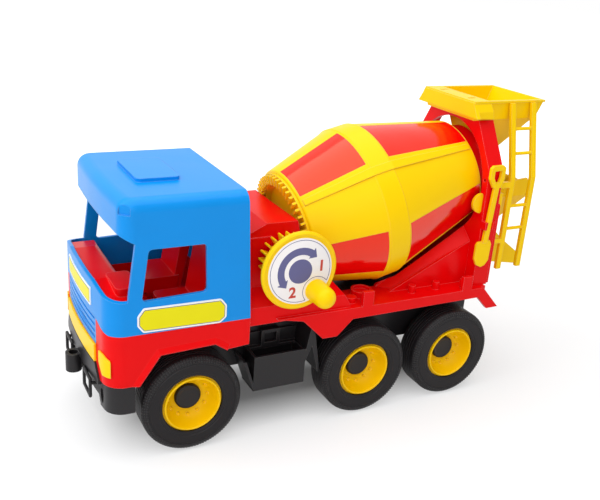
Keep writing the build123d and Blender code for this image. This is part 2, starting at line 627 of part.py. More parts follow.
def spoke_direction(angle):
    """Unit vector at right angles to the drum's axis; 0 is the left side, 90 the top."""
    a = math.radians(angle)
    return LEFT * math.cos(a) + UP * math.sin(a)


def wedge(start, sweep, s0, s1, reach=90.0):
    """A slice of pie about the drum's axis, from s0 to s1."""
    steps = max(2, math.ceil(sweep / 45))
    points = [(0, 0)]
    for i in range(steps + 1):
        a = math.radians(start + sweep * i / steps)
        points.append((reach * math.cos(a), reach * math.sin(a)))
    plane = Plane(origin=on_axis(s0), x_dir=LEFT, z_dir=LEFT.cross(UP))
    return extrude(plane * Polygon(*points, align=None), amount=s1 - s0, dir=ALONG)


FRONT_CONE = [(DRUM_FRONT_R, DRUM_FRONT_S), (BELT_R, -BELT_HALF_W)]
REAR_CONE = [(BELT_R, BELT_HALF_W), (DRUM_REAR_R, DRUM_REAR_S)]


def cone_radius(cone, s):
    (r0, s0), (r1, s1) = cone
    return r0 + (r1 - r0) * (s - s0) / (s1 - s0)


def panel_ring(cone, s0, s1, depth):
    """The skin of a cone between s0 and s1, down to depth, as a full ring."""
    r0, r1 = cone_radius(cone, s0), cone_radius(cone, s1)
    return [(r0 - depth, s0), (r0, s0), (r1, s1), (r1 - depth, s1)]


PANEL_BANDS = {"front": (FRONT_CONE, DRUM_FRONT_S + 1.8, -BELT_HALF_W - 1.0),
               "rear": (REAR_CONE, BELT_HALF_W + 1.0, DRUM_REAR_S - 0.8)}


def panel_slices(s0, s1):
    group = None
    for i in range(4):
        one = wedge(PANEL_START + PANEL_PITCH * i, PANEL_ANGLE, s0, s1)
        group = one if group is None else group + one
    return group


def drum_panels(band):
    """Four glossy panels let into the shell."""
    cone, s0, s1 = PANEL_BANDS[band]
    depth = PANEL_T + PANEL_FIT
    r0, r1 = cone_radius(cone, s0), cone_radius(cone, s1)
    ring = [(r0 - depth, s0), (r0 - PANEL_FIT, s0), (r1 - PANEL_FIT, s1), (r1 - depth, s1)]
    return round_drum(ring) & panel_slices(s0, s1)


def drum_body():
    """Both halves of the shell together."""
    wall, end = DRUM_WALL, DRUM_END_T
    outside = [(DRUM_FRONT_R, DRUM_FRONT_S), (BELT_R, -BELT_HALF_W),
               (BELT_R + BELT_PROUD, -BELT_HALF_W + 0.6), (BELT_R + BELT_PROUD, BELT_HALF_W - 0.6),
               (BELT_R, BELT_HALF_W), (DRUM_REAR_R, DRUM_REAR_S)]
    inside = [(MOUTH_R, DRUM_REAR_S), (MOUTH_R, DRUM_REAR_S - end), (DRUM_REAR_R - wall, DRUM_REAR_S - end),
              (BELT_R - wall, BELT_HALF_W - 1), (BELT_R - wall, -BELT_HALF_W + 1),
              (DRUM_FRONT_R - wall, DRUM_FRONT_S)]
    body = round_drum(outside + inside)
    front = on_axis(DRUM_FRONT_S)
    rim_edge = [e for e in body.edges().filter_by(GeomType.CIRCLE) if abs(e.radius - DRUM_FRONT_R) < 0.01
                and (e.arc_center - front).length < 0.01]
    body = fillet(rim_edge, DRUM_FRONT_ROUND)
    for cone, s0, s1 in PANEL_BANDS.values():
        body -= round_drum(panel_ring(cone, s0, s1, PANEL_T + PANEL_FIT)) & panel_slices(s0, s1)
    for side in (0, 180):
        start = DRUM_FRONT_S + DRUM_FRONT_ROUND
        end_s = DRUM_REAR_S - 1.5
        rib = [(DRUM_FRONT_R - 1, start), (DRUM_FRONT_R + RIB_PROUD, start),
               (BELT_R + RIB_PROUD, -BELT_HALF_W), (BELT_R + RIB_PROUD, BELT_HALF_W),
               (DRUM_REAR_R + RIB_PROUD, end_s), (DRUM_REAR_R - 1, end_s),
               (BELT_R - 1, BELT_HALF_W), (BELT_R - 1, -BELT_HALF_W)]
        body += round_drum(rib) & wedge(SEAM_ANGLE + side, RIB_ANGLE, DRUM_FRONT_S, DRUM_REAR_S)
    blades = None
    for i in range(4):
        angle = SEAM_ANGLE + 45 + 90 * i
        out = spoke_direction(angle)
        across = out.cross(ALONG)
        middle = DRUM_CENTRE + ALONG * 30 + out * (BELT_R - 13.6)
        plane = Plane(origin=middle, x_dir=ALONG * math.cos(0.45) + across * math.sin(0.45), z_dir=out)
        blade = plane * Box(70, 2.0, 26)
        blades = blade if blades is None else blades + blade
    core = [(30, -2), (BELT_R - wall + 0.3, -2), (BELT_R - wall + 0.3, BELT_HALF_W - 1),
            (DRUM_REAR_R - wall + 2.6, DRUM_REAR_S - end - 14), (30, DRUM_REAR_S - end - 14)]
    return body + (blades & round_drum(core))


def drum_shell(half_start):
    return drum_body() & wedge(half_start, 180, DRUM_FRONT_S - 5, DRUM_REAR_S + 5)


def gear_ring():
    """Front cap of the drum, with the ring of teeth and the journal it turns on."""
    flange, spigot = RING_OUTER_R + 0.4, DRUM_FRONT_R - DRUM_WALL - 0.2
    dish_r, dish_s, back_s = RING_INNER_R - 1.0, RING_BASE_S + RING_DISH, DRUM_FRONT_S + 4.0
    cap = [(0, dish_s), (dish_r - RING_DISH, dish_s), (dish_r, RING_BASE_S), (flange, RING_BASE_S),
           (flange, DRUM_FRONT_S), (spigot, DRUM_FRONT_S), (spigot, back_s), (spigot - 2.0, back_s),
           (spigot - 2.0, DRUM_FRONT_S), (dish_r, DRUM_FRONT_S), (dish_r - RING_DISH, dish_s + 2.0),
           (0, dish_s + 2.0)]
    piece = round_drum(cap) + drum_rod(JOURNAL_END_S, dish_s, JOURNAL_R)
    pitch = 360 / RING_TEETH
    depth = RING_BASE_S - RING_TIP_S + 0.4
    teeth = []
    for i in range(RING_TEETH):
        out = spoke_direction((i + 0.5) * pitch)
        middle = on_axis(RING_TIP_S + depth / 2) + out * ((RING_INNER_R + RING_OUTER_R) / 2)
        plane = Plane(origin=middle, x_dir=out, z_dir=ALONG)
        teeth.append(plane * Box(RING_OUTER_R - RING_INNER_R, TOOTH_W, depth))
    return piece + teeth


# ---- crank ---------------------------------------------------------------------------------
CRANK_CENTRE = on_axis(CRANK_S)
KNOB_X = CRANK_CENTRE.X + KNOB_ARM * math.cos(math.radians(KNOB_ANGLE))
KNOB_Z = CRANK_CENTRE.Z + KNOB_ARM * math.sin(math.radians(KNOB_ANGLE))


def turned_on_crank(profile, x=None, z=None):
    """A full turn about the crank's axis; places are distances out from the mid-plane."""
    origin = (CRANK_CENTRE.X if x is None else x, 0, CRANK_CENTRE.Z if z is None else z)
    return turned(profile, origin, (1, 0, 0), (0, -1, 0))


def crank_disc():
    face, back = CRANK_FACE_Y, CRANK_FACE_Y - CRANK_T
    seat_y = face - LABEL_T
    profile = [(0, back), (CRANK_R - 0.8, back), (CRANK_R, back + 0.8), (CRANK_R, face - 1.2),
               (CRANK_R - 1.2, face), (LABEL_R + 0.6, face), (LABEL_R + 0.3, seat_y), (0, seat_y)]
    disc = turned_on_crank(profile)
    x, z = CRANK_CENTRE.X, CRANK_CENTRE.Z
    shaft = rod((x, -back, z), (x, -CRANK_SHAFT_IN_Y, z), CRANK_SHAFT_R)
    hole = rod((KNOB_X, -seat_y - 1, KNOB_Z), (KNOB_X, -back + 1, KNOB_Z), KNOB_SPIGOT_R)
    foot = rod((KNOB_X, -face - 1, KNOB_Z), (KNOB_X, -seat_y, KNOB_Z), KNOB_R + KNOB_FOOT_CLEARANCE)
    return disc + shaft - hole - foot


def crank_label():
    face, seat_y = CRANK_FACE_Y, CRANK_FACE_Y - LABEL_T
    label = turned_on_crank([(0, seat_y), (LABEL_R, seat_y), (LABEL_R, face), (0, face)])
    return label - rod((KNOB_X, -face - 1, KNOB_Z), (KNOB_X, -seat_y + 1, KNOB_Z), KNOB_R + 1.6)


def crank_knob():
    """Domed handle on a spigot pressed into the disc."""
    seat_y, back = CRANK_FACE_Y - LABEL_T, CRANK_FACE_Y - CRANK_T
    tip = seat_y + KNOB_LENGTH
    profile = [(0, back), (KNOB_SPIGOT_R, back), (KNOB_SPIGOT_R, seat_y), (KNOB_R, seat_y),
               (KNOB_END_R, tip - KNOB_DOME)]
    for i in range(1, 7):
        a = math.radians(15 * i)
        profile.append((KNOB_END_R * math.cos(a), tip - KNOB_DOME * (1 - math.sin(a))))
    return turned_on_crank(profile, KNOB_X, KNOB_Z)


def peg_wheel():
    """Wheel of long pegs that turns the drum's ring of teeth."""
    inner, outer = PEG_Y
    hub = turned_on_crank([(CRANK_SHAFT_R, inner), (PEG_HUB_R, inner), (PEG_HUB_R, outer),
                           (CRANK_SHAFT_R + 2.5, outer), (CRANK_SHAFT_R + 2.5, CRANK_FACE_Y - CRANK_T),
                           (CRANK_SHAFT_R, CRANK_FACE_Y - CRANK_T)])
    reach = PEG_TIP_R - PEG_W / 2
    pegs = []
    for i in range(PEGS):
        a = TILT + 2 * math.pi * i / PEGS
        out = Vector(math.cos(a), 0, math.sin(a))
        root = Vector(CRANK_CENTRE.X, -(inner + outer) / 2, CRANK_CENTRE.Z)
        blade = Plane(origin=root + out * ((reach + PEG_HUB_R - 1) / 2), x_dir=out, z_dir=(0, -1, 0))
        pegs.append(blade * Box(reach - PEG_HUB_R + 1, PEG_W, outer - inner))
        tip = root + out * reach
        pegs.append(rod((tip.X, -inner, tip.Z), (tip.X, -outer, tip.Z), PEG_W / 2))
    return hub + pegs


# ---- mixer deck ----------------------------------------------------------------------------
SUPPORT_S = RING_TIP_S - SUPPORT_GAP          # rear face of the support's leaning wall


def support_rear_x(z, s=SUPPORT_S):
    """Where the leaning wall in front of the gear ring stands at height z."""
    return (DRUM_X + s / math.cos(TILT)) - (z - DRUM_Z) * math.tan(TILT)


def deck_plate():
    plate = box(DECK_FRONT_X, DECK_REAR_X, -DECK_HALF, DECK_HALF, REAR_DECK_Z, REAR_DECK_Z + DECK_T)
    slot = box(support_rear_x(REAR_DECK_Z), 208.0, -DECK_SLOT_HALF, DECK_SLOT_HALF, 80, 90)
    return plate - slot


def skirt():
    """Side strip with its pointed nose and the flap at the tail."""
    top = REAR_DECK_Z + DECK_T
    shape = [(59.7, top), (79.6, 82.9), (96.0, 66.8), (107.7, 66.8), (119.7, SKIRT_BOTTOM_Z),
             (231.4, SKIRT_BOTTOM_Z + 1), (241.9, 68.7), (252.8, 68.9), (236.0, top)]
    return prism_xz(shape, -SKIRT_HALF, -DECK_HALF)


def deck_fittings():
    """Bosses, posts and sockets on the left half of the deck."""
    top = REAR_DECK_Z + DECK_T
    parts = rod((136.4, -38.0, top), (136.4, -38.0, top + 5.0), 8.0)
    parts -= rod((136.4, -38.0, top + 2.5), (136.4, -38.0, top + 6.0), 6.4)
    parts += rod((123.0, -46.0, top), (123.0, -46.0, top + 4.0), 4.0)
    for x in (176.0, 198.0):
        parts += rod((x, -46.0, top), (x, -46.0, top + 6.0), 2.6)
    for x in (127.0, 215.5):
        parts += box(x, x + 8.6, -SKIRT_HALF, -SKIRT_HALF + 3.0, top - 1, 98.0)
        parts += box(x + 2.6, x + 6.0, -SKIRT_HALF + 2.9, -SKIRT_HALF + 8.0, top, 94.0)
    return parts


def drum_envelope():
    """The turning drum with room round it, for cutting out of what stands near."""
    front_r = DRUM_FRONT_R + DRUM_ROOM + 1.0
    belt_r = BELT_R + RIB_PROUD + DRUM_ROOM
    rear_r = DRUM_REAR_R + RIB_PROUD + DRUM_ROOM
    rear_s = DRUM_REAR_S + 0.8
    return round_drum([(0, SUPPORT_S), (front_r, SUPPORT_S), (belt_r, -BELT_HALF_W), (belt_r, BELT_HALF_W),
                       (rear_r, rear_s), (0, rear_s)])


def cradle():
    """Wall on the left that follows the drum's underside from the deck up to the rear frame."""
    top, wall = REAR_DECK_Z + DECK_T, CRADLE_WALL
    y0, y1 = CRADLE_Y
    (x0, z0), (x1, z1) = (CRADLE_START_X, top), (FRAME_X, CRADLE_TOP_Z)
    drop = CRADLE_DROP
    upright = prism_xz([(x0 + 5, top - 1), (x0 + 5, z0), (x1, z1 - drop), (x1, top - 1)], -y1, -y1 + wall)
    ends = []
    for x, z in ((x0, z0), (x1, z1)):
        outline = [(-y0, z), (-y1, z - drop), (-y1, z - drop - wall), (-y0, z - wall)]
        ends.append(Plane.YZ.offset(x) * Polygon(*outline, align=None))
    lean = loft(ends) & box(x0, x1, -y1, -y0, top - 1, z1 + 5)
    ridge = prism_xz([(x0, z0 - wall), (x0, z0), (x0 + CRADLE_FIN, z0 + CRADLE_FIN), (x1, z1 + CRADLE_FIN),
                      (x1, z1 - wall)], -y0 - 0.4, -y0 + wall)
    return upright + lean + (ridge & box(x0, x1, -60, 60, top - 1, 200))


def support():
    """Hollow box between the cab and the drum, with bearings for the drum and the crank."""
    top, base, wall = SUPPORT_TOP_Z, REAR_DECK_Z + DECK_T, SUPPORT_WALL
    front = DECK_FRONT_X + 1.0
    slope_x, low_top = SUPPORT_SLOPE_X, top - SUPPORT_SLOPE_DROP
    outer = [(front, base - 1), (front, low_top), (slope_x, top), (support_rear_x(top), top),
             (support_rear_x(base), base - 1)]
    inner = [(front + wall, base - 3), (front + wall, low_top - wall), (slope_x, top - wall),
             (support_rear_x(top - wall) - wall, top - wall), (support_rear_x(base) - wall, base - 3)]
    half = SUPPORT_HALF
    piece = prism_xz(outer, -half, half) - prism_xz(inner, -half + wall, half - wall)
    ledge = box(front, SUPPORT_LEDGE_X, -half - SUPPORT_LEDGE_T, -half + 1, base, SUPPORT_LEDGE_Z)
    piece += both_sides(ledge)
    apron = [(-half, 105.0), (-DECK_HALF, 97.0), (-DECK_HALF, base - 1), (-half, base - 1)]
    apron_in = [(-half, 102.0), (-DECK_HALF + 2.5, 94.7), (-DECK_HALF + 2.5, base - 3), (-half, base - 3)]
    side = prism_yz(apron, front, 118.0) - prism_yz(apron_in, front + 2.5, 115.5)
    side &= prism_xz([(front - 5, 130), (92, 130), (118, 89), (118, base - 2), (front - 5, base - 2)],
                     -70, 0)
    piece += both_sides(side)
    x, z = CRANK_CENTRE.X, CRANK_CENTRE.Z
    piece += box(x - 9, x + 9, -19.0, -16.0, base - 1, top - 1)
    piece += rod((x, -half - 1.0, z), (x, -half + 5.0, z), 8.0)
    collar = drum_rod(SUPPORT_S - wall - 5.0, SUPPORT_S, JOURNAL_R + 3.0)
    piece += collar
    piece -= rod((x, -half - 6, z), (x, -14.0, z), CRANK_SHAFT_R + CRANK_CLEARANCE)
    piece -= drum_rod(JOURNAL_END_S - 6, RING_TIP_S, JOURNAL_R + JOURNAL_CLEARANCE)
    return piece


def mixer_deck():
    deck = deck_plate() + support()
    deck += both_sides(skirt() + deck_fittings() + cradle())
    deck -= drum_envelope()
    for x, y in DECK_SCREWS:
        deck += rod((x, y, REAR_DECK_Z + DECK_T), (x, y, REAR_DECK_Z + DECK_T + 3.5), 4.0)
        deck -= rod((x, y, REAR_DECK_Z - 1), (x, y, REAR_DECK_Z + DECK_T + 2.0), SCREW_R)
    return deck


# ---- rear frame ----------------------------------------------------------------------------
EAR_Y0, EAR_Y1 = FRAME_FOOT_HALF - 6.4, FRAME_FOOT_HALF - 3.8
EAR_Z0, EAR_Z1 = 146.5, 159.5


def frame_outline(inset, foot_z):
    foot, shoulder, top = FRAME_FOOT_HALF - inset, FRAME_SHOULDER_HALF - inset, FRAME_TOP_HALF - inset * 0.8
    shoulder_z, top_z = FRAME_SHOULDER_Z - inset * 0.3, FRAME_TOP_Z - inset
    return [(-foot, foot_z), (-shoulder, shoulder_z), (-top, top_z), (top, top_z), (shoulder, shoulder_z),
            (foot, foot_z)]


def across_x(x0, x1, radius, z=ARCH_Z):
    return rod((x0, 0, z), (x1, 0, z), radius)


def rear_frame():
    """Arch round the back of the drum: a front plate with a deep flange, and a bearing for the mouth."""
    x0, x1, wall = FRAME_X, FRAME_BACK_X, FRAME_WALL
    foot = REAR_DECK_Z + DECK_T
    body = prism_yz(frame_outline(0, foot), x0, x1)
    hollow = prism_yz(frame_outline(wall, foot + wall), x0 + wall, x1 + 1)
    body = body - hollow - across_x(x0 - 1, x1 + 1, ARCH_R)
    web = prism_yz([(-FRAME_FOOT_HALF + 2, foot), (-FRAME_FOOT_HALF + 2, 150), (-38, 162), (38, 162),
                    (FRAME_FOOT_HALF - 2, 150), (FRAME_FOOT_HALF - 2, foot)], x1, x1 + WEB_T)
    tube = drum_rod(DRUM_REAR_S - DRUM_END_T - 2.0, DRUM_REAR_S + 15.0, MOUTH_R - MOUTH_CLEARANCE)
    bore = drum_rod(DRUM_REAR_S - 20, DRUM_REAR_S + 40, MOUTH_R - 3.2)
    collar = drum_rod(DRUM_REAR_S + 1.0, DRUM_REAR_S + 3.0, MOUTH_R + 3.0)
    body = (body + web) - drum_envelope() + collar + tube
    body -= bore
    body -= box(x1 + WEB_T, x1 + 60, -60, 60, 80, 230)
    for side in (-1, 1):
        y0, y1 = sorted((side * (EAR_Y0 - GAP), side * (EAR_Y1 + GAP)))
        body -= box(x0 - 1, x1 + WEB_T + 1, y0, y1, EAR_Z0 - GAP, EAR_Z1 + GAP)
        hole_y = side * (FRAME_FOOT_HALF - 4.6)
        body -= rod((x0 - 1, hole_y, 170.7), (x0 + wall + 1, hole_y, 170.7), 1.3)
    return body


# ---- hopper --------------------------------------------------------------------------------
def loft_box(low, high):
    """A tapering block between two level rectangles (x0, x1, half width, z)."""
    faces = []
    for x0, x1, half, z in (low, high):
        faces.append(Plane.XY.offset(z) * Pos((x0 + x1) / 2, 0) * Rectangle(x1 - x0, 2 * half))
    return loft(faces)


def hopper():
    wall = HOPPER_WALL
    x0, x1, half, top = HOPPER_X0, HOPPER_X1, HOPPER_HALF, HOPPER_TOP_Z
    seat_z = FRAME_TOP_Z
    tray = loft_box((x0 + 1, x1 - 6.0, half - 1.0, seat_z), (x0, x1, half, top))
    tray -= loft_box((x0 + wall + 22, x1 - 8.0, half - 1.0 - wall, seat_z + 1.2),
                     (x0 + wall, x1 - wall, half - wall, top + 0.01))
    rim = box(x0 - 1.2, x1, -half - 1.2, half + 1.2, top - HOPPER_RIM_T, top)
    rim -= box(x0 + wall, x1 - wall, -half + wall, half - wall, top - 3, top + 1)
    ledge = box(x0 - 1.2, x0 + HOPPER_LEDGE, -half, half, top - HOPPER_RIM_T, top)
    slot = box(x0 + 3.0, x0 + 10.0, -18.6, -15.8, top - 3, top + 1)
    rim += ledge - both_sides(slot)
    apron = prism_yz([(-37.6, 214.6), (-half, top - 1), (half, top - 1), (37.6, 214.6)], x0 - 2.2, x0 + 1.2)
    cheek = prism_xz([(x0 - 2.2, 214.6), (x0 - 2.2, top - 1), (x0 + 14, top - 1), (x0 + 16, 213.4)],
                     -half - 4.0, -half + 0.5)
    cheek &= prism_yz([(-37.6, 213.0), (-half, top), (-half + 2, top), (-half + 2, 213.0)], 200, 300)
    cheek -= prism_yz([(-34.5, 211.0), (-half + 1.6, 222.0), (-half + 1.6, 211.0)], x0 + 1.2, 300)
    back = FRAME_BACK_X
    low = (back + 2.0, back + 21.0, 15.0, 187.0)
    funnel = loft_box(low, (x0 + 20, x1 - 7.0, half - 1.5, seat_z + 0.5))
    funnel_in = loft_box((low[0] + wall, low[1] - wall, low[2] - wall, low[3] - 0.01),
                         (x0 + 20 + wall, x1 - 7.0 - wall, half - 1.5 - wall, seat_z + 3.0))
    spout = prism_xz([(back + 2, 187.0), (back + 21, 187.0), (back + 9, 176.0), (back - 5.5, 173.5),
                      (back - 7, 180.0)], -15.0, 15.0)
    spout_in = prism_xz([(back + 2 + wall, 190.0), (back + 21 - wall, 190.0), (back + 21 - wall, 187.0),
                         (back + 8, 178.2), (back - 13, 175.0), (back - 13, 181.0),
                         (back + 2 + wall, 187.5)], -15.0 + wall, 15.0 - wall)
    piece = tray + rim + apron + both_sides(cheek) + funnel + spout
    return piece - funnel_in - spout_in


# ---- collector and chute -------------------------------------------------------------------
SPOUT_BOTTOM_Z = CHUTE_RING_Z[0] - 2.0


def collector():
    """Bowl behind the frame that gathers what runs out of the drum, with a spout under it."""
    x0, x1, half, wall = FRAME_BACK_X + WEB_T, COLLECTOR_REAR_X, COLLECTOR_HALF, 2.0
    floor_z = 126.0
    outer = [(x0, floor_z), (x0, COLLECTOR_TOP_Z - 4), (x1 - 4, COLLECTOR_TOP_Z), (x1, 158.0),
             (x1 - 2, 148.0), (SWIVEL_X + 11, floor_z)]
    inner = [(x0 - 1, floor_z + 2.0), (x0 - 1, COLLECTOR_TOP_Z + 5), (x1 + 5, COLLECTOR_TOP_Z + 5),
             (x1 - 2.2, 157.0), (x1 - 4.2, 149.0), (SWIVEL_X + 9.8, floor_z + 2.0)]
    taper = [(-half, 200), (-half, 150), (-15.5, floor_z), (15.5, floor_z), (half, 150), (half, 200)]
    taper_in = [(-half + wall, 200), (-half + wall, 150.6), (-14.0, floor_z + 2), (14.0, floor_z + 2),
                (half - wall, 150.6), (half - wall, 200)]
    bowl = prism_xz(outer, -half, half) & prism_yz(taper, x0, x1 + 1)
    bowl -= prism_xz(inner, -half, half) & prism_yz(taper_in, x0 - 2, x1 + 6)
    bowl += rod((SWIVEL_X, 0, SPOUT_BOTTOM_Z), (SWIVEL_X, 0, floor_z + 1), SPOUT_R)
    bowl += rod((SWIVEL_X, 0, SPOUT_BOTTOM_Z), (SWIVEL_X, 0, CHUTE_RING_Z[0] - GAP), SPOUT_R + 1.2)
    bowl -= rod((SWIVEL_X, 0, SPOUT_BOTTOM_Z - 1), (SWIVEL_X, 0, floor_z + 8), SPOUT_BORE_R)
    flange = box(x0, x0 + 2.5, -EAR_Y1, -half + 1, EAR_Z0 + 1, EAR_Z1 - 1)
    ear = box(FRAME_X - 0.5, x0 + 2.5, -EAR_Y1, -EAR_Y0, EAR_Z0, EAR_Z1)
    half_disc = rod((FRAME_X - GAP, -EAR_Y1, 153.0), (FRAME_X - GAP, -EAR_Y0, 153.0), 7.6)
    half_disc &= box(FRAME_X - 12, FRAME_X - GAP, -60, 0, 140, 170)
    return bowl + both_sides(flange + ear + half_disc)


def chute():
    """Open trough that swings from side to side under the spout."""
    z0, z1 = CHUTE_RING_Z
    end, half, wall = CHUTE_END_X, CHUTE_HALF, CHUTE_WALL
    bore = SPOUT_R + SPOUT_CLEARANCE
    ring = rod((SWIVEL_X, 0, z0), (SWIVEL_X, 0, z1), half)
    start = SWIVEL_X - half
    outer = [(start, 119.0), (start, 104.0), (SWIVEL_X + 3, 90.0), (end, 83.5), (end, 94.0),
             (SWIVEL_X + 21, 108.0), (SWIVEL_X + 8, 119.5), (SWIVEL_X, 119.5)]
    inner = [(start + wall, 130.0), (start + wall, 105.0), (SWIVEL_X + 4, 92.0), (end + 5, 85.2),
             (end + 5, 130.0)]
    trough = prism_xz(outer, -half, half) - prism_xz(inner, -half + wall, half - wall)
    nose = rod((SWIVEL_X, 0, 70), (SWIVEL_X, 0, 140), half) + box(SWIVEL_X, end + 5, -half, half, 70, 140)
    hollow = rod((SWIVEL_X, 0, 106), (SWIVEL_X, 0, z0), SPOUT_R + 1.2 + 2 * GAP)
    return ((trough & nose) - hollow + ring) - rod((SWIVEL_X, 0, z0 - 1), (SWIVEL_X, 0, z1 + 1), bore)


# ---- ladder and shovel ---------------------------------------------------------------------
def ladder():
    t = LADDER_RAIL_T
    top_z = HOPPER_TOP_Z - HOPPER_RIM_T
    top_y, y = -HOPPER_HALF - t, -LADDER_Y
    shape = [(top_y, top_z), (y, LADDER_BEND_Z), (y, LADDER_BOTTOM_Z), (y + t, LADDER_BOTTOM_Z),
             (y + t, LADDER_BEND_Z - 0.4), (top_y + t, top_z)]
    piece = None
    for x in LADDER_X:
        rail = prism_yz(shape, x - LADDER_RAIL_W / 2, x + LADDER_RAIL_W / 2)
        piece = rail if piece is None else piece + rail
    for z in RUNG_Z:
        up = max(0.0, z - LADDER_BEND_Z) / (top_z - LADDER_BEND_Z)
        rung_y = y + (top_y - y) * up + t / 2 + 0.2
        piece += rod((LADDER_X[0], rung_y, z), (LADDER_X[1], rung_y, z), RUNG_R)
    piece += box(FRAME_BACK_X, LADDER_X[0], y, y + t, 163.0, 167.5)
    piece += box(FRAME_BACK_X + WEB_T, LADDER_X[0], y, y + t, 118.0, 121.5)
    return piece


SHOVEL_Y = FRAME_FOOT_HALF + SHOVEL_GAP


def shaft_edges(z):
    """Left and right edges of the leaning shaft at height z."""
    up = (z - 123.0) / 45.0
    return SHOVEL_X - 4.6 + 3.0 * up, SHOVEL_X - 0.2 + 2.8 * up


def shovel():
    y0, y1 = -SHOVEL_Y - SHOVEL_T, -SHOVEL_Y
    x = SHOVEL_X
    blade = prism_xz([(x - 10.0, 121.5), (x - 8.5, 124.0), (x + 2.5, 124.6), (x + 4.0, 121.5),
                      (x + 3.6, 108.5), (x + 0.5, 104.5), (x - 3.0, 103.4), (x - 7.5, 105.5),
                      (x - 10.0, 110.5)], y0, y1)
    (a0, b0), (a1, b1) = shaft_edges(123.0), shaft_edges(168.0)
    shaft = prism_xz([(a0, 123.0), (b0, 123.0), (b1, 168.0), (a1, 168.0)], y0 - 0.6, y1)
    grip = [(x - 3.0, 166.5), (x - 7.0, 173.5), (x - 7.0, 181.5), (x - 5.0, 183.4), (x + 4.0, 183.6),
            (x + 6.2, 181.5), (x + 6.4, 173.0), (x + 4.0, 166.5)]
    hole = [(x - 1.4, 170.5), (x - 3.6, 174.5), (x - 3.6, 179.4), (x + 2.8, 179.8), (x + 2.8, 174.0),
            (x + 1.6, 170.5)]
    handle = prism_xz(grip, y0 - 0.6, y1) - prism_xz(hole, y0 - 2, y1 + 2)
    return blade + shaft + handle


def shovel_clip():
    """Two jaws moulded on the frame that hold the shovel's shaft."""
    y1 = -FRAME_FOOT_HALF + 1.5
    z0, z1 = 134.0, 140.0
    (a0, b0), (a1, b1) = shaft_edges(z0 - 1), shaft_edges(z1 + 1)
    jaws = box(FRAME_X, b1 + 2.6, -SHOVEL_Y - SHOVEL_T - 2.0, y1, z0, z1)
    slot = prism_xz([(a0 - GAP, z0 - 1), (b0 + GAP, z0 - 1), (b1 + GAP, z1 + 1), (a1 - GAP, z1 + 1)],
                    -SHOVEL_Y - SHOVEL_T - 3, -FRAME_FOOT_HALF)
    return jaws - slot


# ---- write one file per piece --------------------------------------------------------------
SIDES = (("left", -1), ("right", 1))


def main():
    for axle_name, x in zip(AXLE_NAMES, AXLE_X):
        save(f"axle_{axle_name}", axle(x))
        for side_name, side in SIDES:
            save(f"tyre_{axle_name}_{side_name}", tyre(x, side))
            save(f"rim_{axle_name}_{side_name}", rim(x, side))
            save(f"hub_cap_{axle_name}_{side_name}", hub_cap(x, side))
    save("chassis_frame", chassis_frame())
    save("cab_shell", cab_shell())
    save("cab_lower", cab_lower())
    save("dashboard", dashboard())
    save("grille_bar", grille_bar())
    save("front_plate", front_plate())
    for side_name, side in SIDES:
        save(f"side_bin_{side_name}", side_bin(side))
        save(f"seat_{side_name}", seat(side))
        save(f"headlight_{side_name}", headlight(side))
        save(f"side_plate_{side_name}", side_plate(side))
    save("bumper", bumper())
    save("bumper_guards", bumper_guard(-1) + bumper_guard(1))
    save("cab_screws", screws(CAB_POSTS, FRONT_DECK_Z - CHASSIS_WALL, CAB_FLOOR_Z + 3.5))
    save("deck_screws", screws(DECK_SCREWS, REAR_DECK_Z - CHASSIS_WALL, REAR_DECK_Z + DECK_T + 1.5))
    save("mixer_deck", mixer_deck())
    save("rear_frame", rear_frame() + shovel_clip())
    save("drum_gear_ring", gear_ring())
    save("drum_shell_upper", drum_shell(SEAM_ANGLE))
    save("drum_shell_lower", drum_shell(SEAM_ANGLE + 180))
    save("drum_front_panels", drum_panels("front"))
    save("drum_rear_panels", drum_panels("rear"))
    save("crank_disc", crank_disc())
    save("crank_label", crank_label())
    save("crank_knob", crank_knob())
    save("peg_wheel", peg_wheel())
    save("hopper", hopper())
    save("collector", collector())
    save("chute", chute())
    save("ladder", ladder())
    save("shovel", shovel())


main()
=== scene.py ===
# %% [markdown]
# # Dressing a toy cement mixer truck
#
# The toy is a sturdy truck for the sandpit: a blue cab on a red deck, a yellow mixing drum that a
# hand crank turns through a ring of teeth, a hopper that fills it, a chute that empties it, and six
# wheels. Its shape comes from a CAD model that is already packed. This lesson gives that model its
# plastics, rebuilds the pieces that need finer detail than the CAD carries, and lights it.
#
# Everything is in metres. +X points to the rear of the truck, -Y is its left side and +Z is up.
# Small sizes are written in millimetres and multiplied by MM where they are used. The frame is loaded
# first.

import json
import math

import bmesh
import bpy
from mathutils import Matrix, Quaternion, Vector


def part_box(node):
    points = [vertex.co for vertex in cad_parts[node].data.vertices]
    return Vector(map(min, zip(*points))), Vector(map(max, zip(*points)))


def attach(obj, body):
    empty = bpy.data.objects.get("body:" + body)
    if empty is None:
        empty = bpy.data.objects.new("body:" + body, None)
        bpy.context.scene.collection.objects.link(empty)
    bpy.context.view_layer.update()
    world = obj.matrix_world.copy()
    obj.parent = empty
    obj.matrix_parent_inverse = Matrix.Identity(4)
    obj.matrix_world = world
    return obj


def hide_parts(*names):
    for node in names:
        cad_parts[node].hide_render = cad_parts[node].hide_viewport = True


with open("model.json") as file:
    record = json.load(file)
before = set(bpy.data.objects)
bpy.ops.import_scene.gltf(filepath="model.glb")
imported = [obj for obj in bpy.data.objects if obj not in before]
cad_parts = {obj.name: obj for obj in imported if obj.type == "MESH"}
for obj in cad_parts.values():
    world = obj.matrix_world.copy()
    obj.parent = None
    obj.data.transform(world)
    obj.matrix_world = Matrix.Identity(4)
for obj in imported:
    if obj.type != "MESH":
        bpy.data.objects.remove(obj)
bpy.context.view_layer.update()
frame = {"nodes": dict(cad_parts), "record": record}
nodes = frame["nodes"]
MM = 0.001
scene = bpy.context.scene

